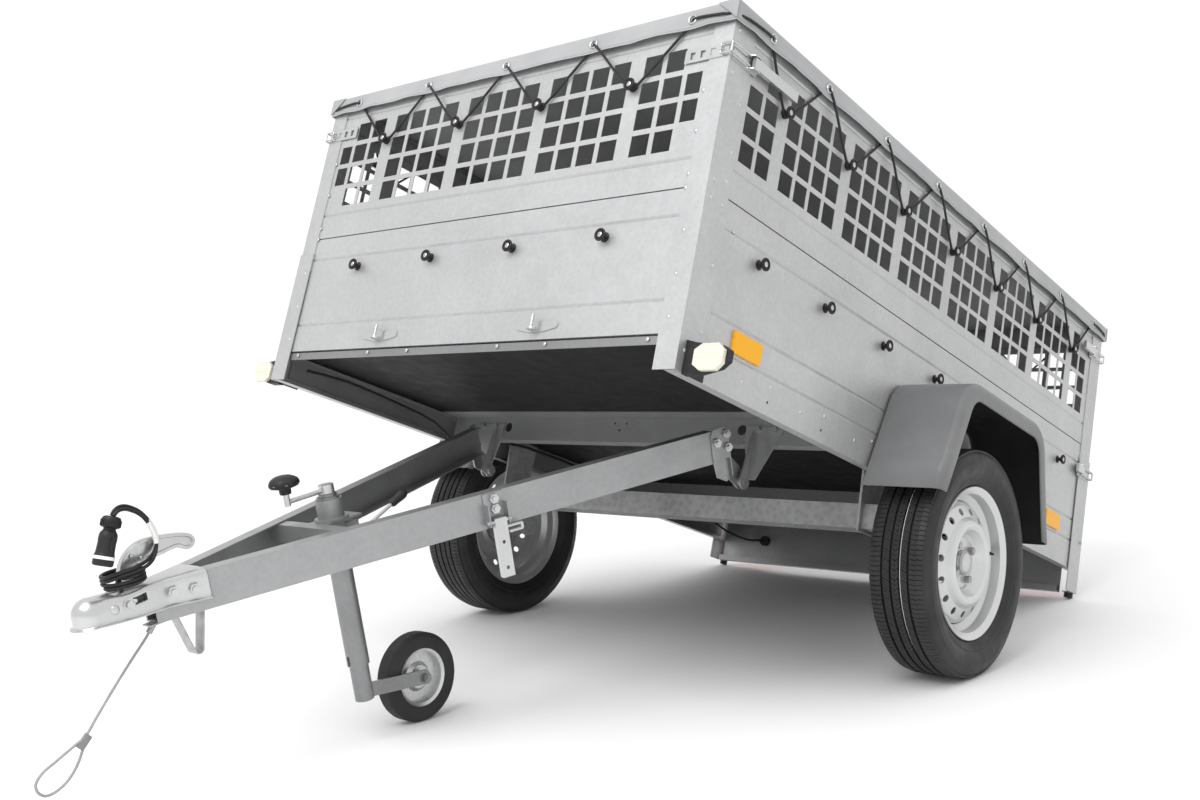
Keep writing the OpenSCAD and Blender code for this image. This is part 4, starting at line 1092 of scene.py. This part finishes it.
def skirt_stand(point, out, drop):
    """How far the skirt stands out: held in at the eyelets, in loose waves and pull folds between them."""
    pull = pull_at(point)
    wave = loose_wave(point)
    fine = noise.noise(Vector((point.x / 24, point.y / 24, 9.5 + drop * 0.8)))
    return out + drop * ((1 - pull) * (3.2 + 2.6 * wave + 1.4 * fine) + pull * (0.9 * wave - 1.2))


def skirt_point(point, way, out, drop):
    """A point of the outline moved out to the skirt, and a little less at a corner."""
    corner = abs(way.x) + abs(way.y) > 1.5
    return point + way * (skirt_stand(point, out, drop) * (0.85 if corner else 1))


class TrailerCover(bpy.types.Operator):
    """Make the flat cover with its loose skirt, hem, corner folds and eyelets."""

    bl_idname = "trailer.cover"
    bl_label = "Cover"

    def execute(self, context):
        nx, ny = COVER_CELLS
        points, faces, flat = [], [], []

        def add(point, uv):
            points.append(point)
            flat.append(uv)
            return len(points) - 1

        grid = []
        for j in range(ny + 1):
            row = []
            for i in range(nx + 1):
                x = -COVER_X + 2 * COVER_X * i / nx
                y = COVER_FRONT + (COVER_REAR - COVER_FRONT) * j / ny
                edge = min(COVER_X - abs(x), y - COVER_FRONT, COVER_REAR - y)
                sag = 1.4 * min(1.0, edge / 60) - 1.2 * math.exp(-edge / 14)
                ripple = 1.3 * noise.noise(Vector((x / 210, y / 330, 3.1))) * min(1.0, edge / 25)
                row.append(add(Vector((x, y, 791.8 - max(0, sag) + ripple * 0.6)), (x / 1000, y / 1000)))
            grid.append(row)
        for j in range(ny):
            for i in range(nx):
                faces.append((grid[j][i], grid[j][i + 1], grid[j + 1][i + 1], grid[j + 1][i]))
        above = (
            [grid[0][i] for i in range(nx)] + [grid[j][nx] for j in range(ny)]
            + [grid[ny][nx - i] for i in range(nx)] + [grid[ny - j][0] for j in range(ny)]
        )
        loop = cover_outline()
        for out, z in (
            (1.8, 790.9), (3.2, 789), (3.9, 785.5), (4.2, 778), (4.5, 768), (4.4, 761), (5.1, 759.4),
            (5.2, 752), (5.0, 746.4),
        ):
            ring = []
            below = COVER_Z - z
            drop = below / SKIRT_DEPTH
            for point, way in loop:
                at = skirt_point(point, way, out, drop)
                at.z = z + drop * 1.2 * loose_wave(point)
                ring.append(add(at, ((at.x + way.x * below) / 1000, (at.y + way.y * below) / 1000)))
            for k in range(len(loop)):
                m = (k + 1) % len(loop)
                faces.append((above[k], ring[k], ring[m], above[m]))
            above = ring
        mesh = bpy.data.meshes.new("Cover")
        mesh.from_pydata([tuple(p) for p in points], [], faces)
        layer = mesh.uv_layers.new(name="UVMap")
        for polygon in mesh.polygons:
            for index in polygon.loop_indices:
                layer.data[index].uv = flat[mesh.loops[index].vertex_index]
        mesh.update()
        cover = finish_piece("Cover", mesh, BOX, "Cover_Cloth", "chassis", angle=60,
                             replaced=["cover"])
        wall = cover.modifiers.new("Thickness", "SOLIDIFY")
        wall.thickness = sizes().cover_thickness
        wall.offset = -1
        hem = self.hem(loop)
        folds = self.folds()
        rings = fittings(
            "Cover_eyelets", self.eyelet_spots(), BOX, ring_tree,
            {"Radius": sizes().eyelet_radius, "Wire": 0.0022}, "Zinc_Bright", "chassis",
        )
        return {"FINISHED"}

    def hem(self, loop):
        route = []
        for point, way in loop:
            at = skirt_point(point, way, 5.0, 1.0)
            at.z = 746.2 + 1.2 * loose_wave(point)
            route.append(at)
        mesh = sweep("Cover_hem", route, 1.3, 6, closed=True)
        return finish_piece("Cover_hem", mesh, BOX, "Cover_Hem", "chassis")

    def folds(self):
        parts = []
        for side in (-1, 1):
            for front in (True, False):
                outline = [(0, 0), (54, -1), (50, -4), (3, -43), (0, -44)]
                flap = slab("fold", outline, 1.4, 0.4, 2)
                flap.transform(turn("X", 90))
                flipped(flap, SIDEWAYS)
                flap.transform(Matrix.Translation((671, -8.0, 791)))
                if not front:
                    flipped(flap, LENGTHWAYS)
                    flap.transform(Matrix.Translation((0, 2100, 0)))
                if side < 0:
                    flipped(flap, SIDEWAYS)
                parts.append(flap)
        mesh = joined("Cover_folds", parts)
        return finish_piece("Cover_folds", mesh, BOX, "Cover_Cloth", "chassis")

    def eyelet_spots(self):
        spots = both_sides([((671.6, y, EYELET_Z), (1, 0, 0)) for y in LACE_YS])
        spots += [((x, -7.6, EYELET_Z), (0, -1, 0)) for x in LACE_XS]
        spots += [((x, 2107.6, EYELET_Z), (0, 1, 0)) for x in LACE_XS]
        return spots


class TrailerLacing(bpy.types.Operator):
    """Make the elastic lacing through the eyelets and under the knobs."""

    bl_idname = "trailer.lacing"
    bl_label = "Lacing"

    def execute(self, context):
        mesh = sweep("Lacing", rounded(self.route()), 1000 * sizes().lace_diameter / 2, 10, closed=True)
        finish_piece(
            "Lacing", mesh, BOX, "Braided_Elastic", "chassis", replaced=["lacing_cord"]
        )
        return {"FINISHED"}

    def run(self, eyes, knobs):
        """One side of the lacing: out through an eyelet, down under a knob and up to the next."""
        inside, neck, out, eye = -0.2, -1.0, -11.0, EYELET_Z + 1
        made = [(eyes[0] - 4, out, eye), (eyes[0] + 5, inside, eye - 5)]
        for i, knob in enumerate(knobs):
            made += [(knob - 8, neck, 634), (knob + 8, neck, 634)]
            made += [(eyes[i + 1] - 5, inside, eye - 5), (eyes[i + 1] + 4, out, eye)]
        return made

    def route(self):
        corner = (675, -11, 757)
        front = self.run(LACE_XS, KNOB_XS)
        side = [(664 - d, u, z) for u, d, z in self.run(LACE_YS, KNOB_YS)]

        def flip_x(points):
            return [(-x, y, z) for x, y, z in points]

        def flip_y(points):
            return [(x, 2100 - y, z) for x, y, z in points]

        return (
            front + [corner] + side + flip_y([corner])
            + flip_y(front)[::-1] + flip_y(flip_x([corner])) + flip_x(side)[::-1] + flip_x([corner])
        )


class TrailerBoxFasteners(bpy.types.Operator):
    """Make the rivets of the posts, panels and sill."""

    bl_idname = "trailer.box_fasteners"
    bl_label = "Box rivets and bolts"

    def execute(self, context):
        side = (1, 0, 0)
        front = (0, -1, 0)
        sill = 65
        spots = [((664, 63, z), side) for z in (95, 235)]
        spots += [((664, 22, 44), side)]
        spots += [((661.4, 63, z), side) for z in (365, 417, 480, 587)]
        spots += [((661.4, 22, z), side) for z in (366, 405, 640, 735)]
        spots += [((625, 0, z), front) for z in (108, 198, 290)]
        spots += [((608, 2.6, z), front) for z in (385, 415, 510, 600)]
        spots += [((x, FACE_Y, sill), front) for x in (578, 297, 152)]
        spots += [((FACE_X, y, 63), side) for y in (335, 558, 780, 1380, 1610, 1840)]
        others = ((118, 330), (2000, 330), (230, 44), (460, 44), (700, 44))
        spots += [((FACE_X, y, z), side) for y, z in others]
        rear = [((x, 2100 - y, z), (a, -b, c)) for (x, y, z), (a, b, c) in spots if y < 70 and z != sill]
        spots = both_sides(spots + rear)
        fittings(
            "Box_rivets", spots, BOX, rivet_tree,
            {"Radius": sizes().rivet_radius, "Height": 0.0022}, "Zinc_Bright", "chassis",
        )
        return {"FINISHED"}


class TrailerKnobs(bpy.types.Operator):
    """Make the flared heads and screws of the lacing knobs."""

    bl_idname = "trailer.knobs"
    bl_label = "Lacing knobs"

    def execute(self, context):
        head = lathe_z("Knob_head", [
            (0, 6), (5.3, 6), (5.4, 9.6), (11.5, 13.2), (14, 15.6), (14.6, 17.6), (14, 19.4), (12.6, 20.2),
            (11, 19.6), (9.6, 17.6), (0, 17.2),
        ], 28)
        foot = lathe_z("Knob_foot", [
            (0, 0.2), (11, 0.2), (11.4, 1.2), (8.4, 2.2), (5.8, 4), (5.4, 6.4), (0, 6.4),
        ], 28)
        screw = lathe_z("Knob_screw", [
            (0, 17), (6.4, 17), (6.6, 18.2), (5.2, 19.6), (2.6, 20.2), (2.2, 19), (0, 19),
        ], 20)
        rows = (KNOB_LOW_Z, KNOB_HIGH_Z)
        spots = both_sides([((FACE_X, y, z), (1, 0, 0)) for y in KNOB_YS for z in rows])
        spots += [((x, FACE_Y, z), (0, -1, 0)) for x in KNOB_XS for z in rows]
        spots += [((x, REAR_Y, KNOB_HIGH_Z), (0, 1, 0)) for x in KNOB_XS]
        for name, mesh, finish, slot in (
            ("Knob_heads", joined("Knob_head", [head, foot]), "Black_Rubber", "black_rubber"),
            ("Knob_screws", screw, "Zinc_Bright", "bright_zinc"),
        ):
            mesh.transform(Matrix.Scale(0.001, 4))
            tree, pattern = part_tree(name, mesh, finish)
            made = grown(name, points_mesh(name, spots, BOX), tree, {"Scale": 1.0})
            finish_piece(name, made, AS_IT_IS, finish, "chassis", angle=40)
            bpy.data.objects.remove(pattern)
        return {"FINISHED"}


class TrailerMudguards(bpy.types.Operator):
    """Make the two mudguards with their rounded outer edges."""

    bl_idname = "trailer.mudguards"
    bl_label = "Mudguards"

    def line(self, inset):
        """The mudguard's outline from the side, set in from its outer skin."""
        def arc(cy, cz, radius, start, end):
            angles = [math.radians(start + (end - start) * k / 16) for k in range(17)]
            return [(cy + radius * math.cos(a), cz + radius * math.sin(a)) for a in angles]

        return (
            [(742 + inset, -50), (770 + inset, 25)] + arc(905, 145, 92 - inset, 160, 90)
            + arc(1213, 145, 92 - inset, 90, 20) + [(1350 - inset, 25), (1378 - inset, -50)]
        )

    def execute(self, context):
        r = 1000 * sizes().guard_round
        section = [(665, 24), (665, 6), (666, 2), (670, 0.4), (690, 0), (760, 0)]
        for k in range(7):
            a = math.radians(90 * k / 6)
            section.append((862 - r + r * math.sin(a), r - r * math.cos(a)))
        section += [(862, 38), (861, 42), (858, 43.5)]
        rows = [[Vector((x, y, z)) for y, z in self.line(inset)] for x, inset in section]
        points = [p for row in rows for p in row]
        n = len(rows[0])
        faces = [
            (i * n + j, i * n + j + 1, (i + 1) * n + j + 1, (i + 1) * n + j)
            for i in range(len(rows) - 1) for j in range(n - 1)
        ]
        right = mesh_of("Mudguard_right", points, faces)
        right.flip_normals()
        left = right.copy()
        flipped(left, SIDEWAYS)
        for name, mesh, nodes in (("Mudguard_right", right, ["mudguards"]), ("Mudguard_left", left, [])):
            made = finish_piece(name, mesh, BOX, "Grained_Plastic", "chassis", angle=50,
                                replaced=nodes)
            # The inner shell of each mudguard gets the near-black painted shade.
            made.data.materials.append(FINISHES["Guard_Underside_Painted_Shade"])
            wall = made.modifiers.new("Thickness", "SOLIDIFY")
            wall.thickness = 0.003
            wall.offset = -1
            wall.material_offset = 1
        return {"FINISHED"}


class TrailerTyres(bpy.types.Operator):
    """Make the two road tyres with their sidewalls and siped tread."""

    bl_idname = "trailer.tyres"
    bl_label = "Road tyres"

    def execute(self, context):
        base = 266.4
        bead = 169.9
        half = [
            (bead, 47), (bead + 1, 49.5), (176.5, 52.4), (181, 54.6), (186.5, 58.6), (188, 60.4),
            (191, 61.6), (196.5, 66), (203, 69.8), (205, 72), (207.5, 72.4), (209, 71.6), (216.5, 76),
            (226, 77.8), (232.5, 78.2), (240, 77.6), (243, 77.6), (244.5, 76.6), (252, 74.2), (258, 71.4),
            (262, 69), (264.5, 66.4), (base, 63.6), (base, 30),
        ]
        inside = [
            (bead, -40), (194.5, -54), (232.5, -70), (257.5, -58), (260.5, 0), (257.5, 58), (232.5, 70),
            (194.5, 54), (bead, 40),
        ]
        profile = half + [(r, -x) for r, x in reversed(half)] + inside
        for name, side in (("left", -1), ("right", 1)):
            place = BOX @ Matrix.Translation((side * WHEEL[0], WHEEL[1], WHEEL[2]))
            body = "wheel_" + name
            carcass = lathe("Tyre_" + name, profile, 144)
            finish_piece("Tyre_" + name, carcass, place, "Tyre_Rubber", body, angle=40,
                         replaced=["tyre_" + name])
            count = sizes().tread_pitches
            tree = round_tree("Tread_" + name, count, "Tyre_Rubber")
            tread = grown("Tread_" + name, self.pitch(count), tree, {"Count": count})
            finish_piece("Tread_" + name, tread, place, "Tyre_Rubber", body, angle=30)
            line = lathe("Tread_line_" + name, [(266, 10.2), (268.6, 10.2), (268.6, 11.6), (266, 11.6)], 144)
            finish_piece("Tread_line_" + name, line, place, "Pale_Plastic", body)
        return {"FINISHED"}

    def pitch(self, count):
        """One pitch of the tread: shoulder blocks, ribs with slanted sipes, all a little apart."""
        step = 2 * math.pi / count
        low, top, edge = 265.6, 273.3, 0.35
        points, faces = [], []

        def block(x0, x1, t0, t1, slant, drop=0.0):
            corners = []
            for x, t, shift in ((x0, t0, 0), (x1, t0, slant), (x1, t1, slant), (x0, t1, 0)):
                corners.append((x, (t + shift) * step))
            start = len(points)
            for depth in (low, top - 0.5, top):
                inset = edge if depth == top else 0.0
                for x, a in corners:
                    across = x + (inset if x < (x0 + x1) / 2 else -inset)
                    middle = (corners[0][1] + corners[2][1]) / 2
                    round_by = a + (inset / 273 if a < middle else -inset / 273)
                    radius = depth - (drop if abs(x) > 60 and depth != low else 0)
                    points.append((across, radius * math.cos(round_by), radius * math.sin(round_by)))
            for ring in range(2):
                for k in range(4):
                    m = (k + 1) % 4
                    a, b = start + ring * 4, start + (ring + 1) * 4
                    faces.append((a + k, a + m, b + m, b + k))
            faces.append(tuple(start + 8 + k for k in range(4)))

        for side in (-1, 1):
            for t0, t1 in ((0.03, 0.49), (0.53, 0.97)):
                block(*sorted((side * 36, side * 52)), t0, t1, 0.10 * side)
                block(*sorted((side * 52.01, side * 66)), t0, t1, 0.04 * side, 3.2)
            for t0, t1 in ((0.04, 0.3), (0.34, 0.63), (0.67, 0.97)):
                block(*sorted((side * 14, side * 30)), t0, t1, 0.42)
        for t0, t1 in ((0.04, 0.48), (0.52, 0.97)):
            block(-8, 0, t0, t1, 0.3)
            block(0.01, 8, t0 + 0.3, t1 + 0.3, -0.3)
        mesh = mesh_of("pitch", points, faces)
        outward(mesh, 1e-6)
        return mesh


class TrailerWheelDetails(bpy.types.Operator):
    """Make the tyre valves and the hub caps."""

    bl_idname = "trailer.wheel_details"
    bl_label = "Valves and hub caps"

    def execute(self, context):
        for name, side in (("left", -1), ("right", 1)):
            place = BOX @ Matrix.Translation((side * WHEEL[0], WHEEL[1], WHEEL[2]))
            stem = lathe_z("Valve_" + name, [
                (0, 0), (7, 0), (6.4, 2.5), (4.6, 5), (4.1, 20), (4.1, 24), (3.2, 26), (3.0, 34), (2.6, 36),
                (0, 36.4),
            ], 20)
            at = turn("X", -69) @ Matrix.Translation((side * 24, 0, 143))
            lean = turn("Y", side * -58) @ turn("X", 180)
            stem = moved(stem, lean, at)
            finish_piece("Valve_" + name, stem, place, "Black_Rubber", "wheel_" + name)
            cap = lathe("Hub_cap_" + name, [(radius, side * out) for radius, out in (
                (0, 46.6), (9, 46.4), (18, 45.6), (22.4, 44.4), (25.2, 42), (26.6, 38.4), (28.6, 38),
                (29.4, 36.4), (29.4, 33), (0, 33),
            )], 48, closed=False)
            finish_piece("Hub_cap_" + name, cap, place, "Zinc_Bright", "wheel_" + name)
        return {"FINISHED"}


class TrailerStage(bpy.types.Operator):
    """Make the pale floor, the soft light and the white surroundings."""

    bl_idname = "trailer.stage"
    bl_label = "Stage and lights"

    def execute(self, context):
        half = 40
        corners = [(-half, -half, 0), (half, -half, 0), (half, half, 0), (-half, half, 0)]
        mesh = mesh_of("Floor", corners, [(0, 1, 2, 3)])
        floor = link("Floor", mesh)
        finish, tree, shader = new_finish("Studio_Floor")
        tone = ramp(tree, noise_of(tree, coordinates(tree), 0.6, 3.0), 0.99, 1.01)
        feed(tree, shader, {
            "Base Color": tinted(tree, colours().floor, tone), "Roughness": 0.8, "Specular IOR Level": 0.1,
        })
        mesh.materials.append(finish)
        world = bpy.data.worlds.new("Studio")
        world.use_nodes = True
        sky = world.node_tree.nodes["Background"]
        feed(world.node_tree, sky, {"Color": (1, 1, 1, 1), "Strength": 1.04})
        context.scene.world = world
        self.lamp("Key", (0.6, -3.6, 4.4), (0, 0, 0.8), 3.0, 140)
        context.scene.view_settings.view_transform = "Standard"
        return {"FINISHED"}

    def lamp(self, name, place, aim, size, power):
        data = bpy.data.lights.new(name, "AREA")
        data.shape = "SQUARE"
        data.size = size
        data.energy = power
        lamp = bpy.data.objects.new(name, data)
        bpy.context.scene.collection.objects.link(lamp)
        lamp.location = place
        lamp.rotation_euler = (Vector(aim) - Vector(place)).to_track_quat("-Z", "Y").to_euler()


OPERATORS = (
    TrailerCamera, TrailerCableLeads, TrailerSafetyRope, TrailerSurfaces, TrailerCoupling, TrailerGrips,
    TrailerCover, TrailerLacing, TrailerBoxFasteners, TrailerKnobs, TrailerMudguards, TrailerTyres,
    TrailerWheelDetails, TrailerStage,
)


class TRAILER_PT_pieces(bpy.types.Panel):
    """Lists the trailer's pieces and their sizes and colours."""

    bl_idname = "TRAILER_PT_pieces"
    bl_label = "Trailer"
    bl_space_type = "VIEW_3D"
    bl_region_type = "UI"
    bl_category = "Trailer"

    def draw(self, context):
        layout = self.layout
        for operator in OPERATORS:
            layout.operator(operator.bl_idname)
        for group in (context.scene.trailer_sizes, context.scene.trailer_colours):
            column = layout.column()
            for name in group.__annotations__:
                column.prop(group, name)


CLASSES = (TrailerColours, TrailerSizes) + OPERATORS + (TRAILER_PT_pieces,)


def register():
    for item in CLASSES:
        bpy.utils.register_class(item)
    bpy.types.Scene.trailer_colours = PointerProperty(type=TrailerColours)
    bpy.types.Scene.trailer_sizes = PointerProperty(type=TrailerSizes)


def unregister():
    del bpy.types.Scene.trailer_sizes
    del bpy.types.Scene.trailer_colours
    for item in reversed(CLASSES):
        bpy.utils.unregister_class(item)


def main():
    register()
    make_finishes()
    for operator in OPERATORS:
        group, name = operator.bl_idname.split(".")
        getattr(getattr(bpy.ops, group), name)()


if __name__ == "__main__":
    main()
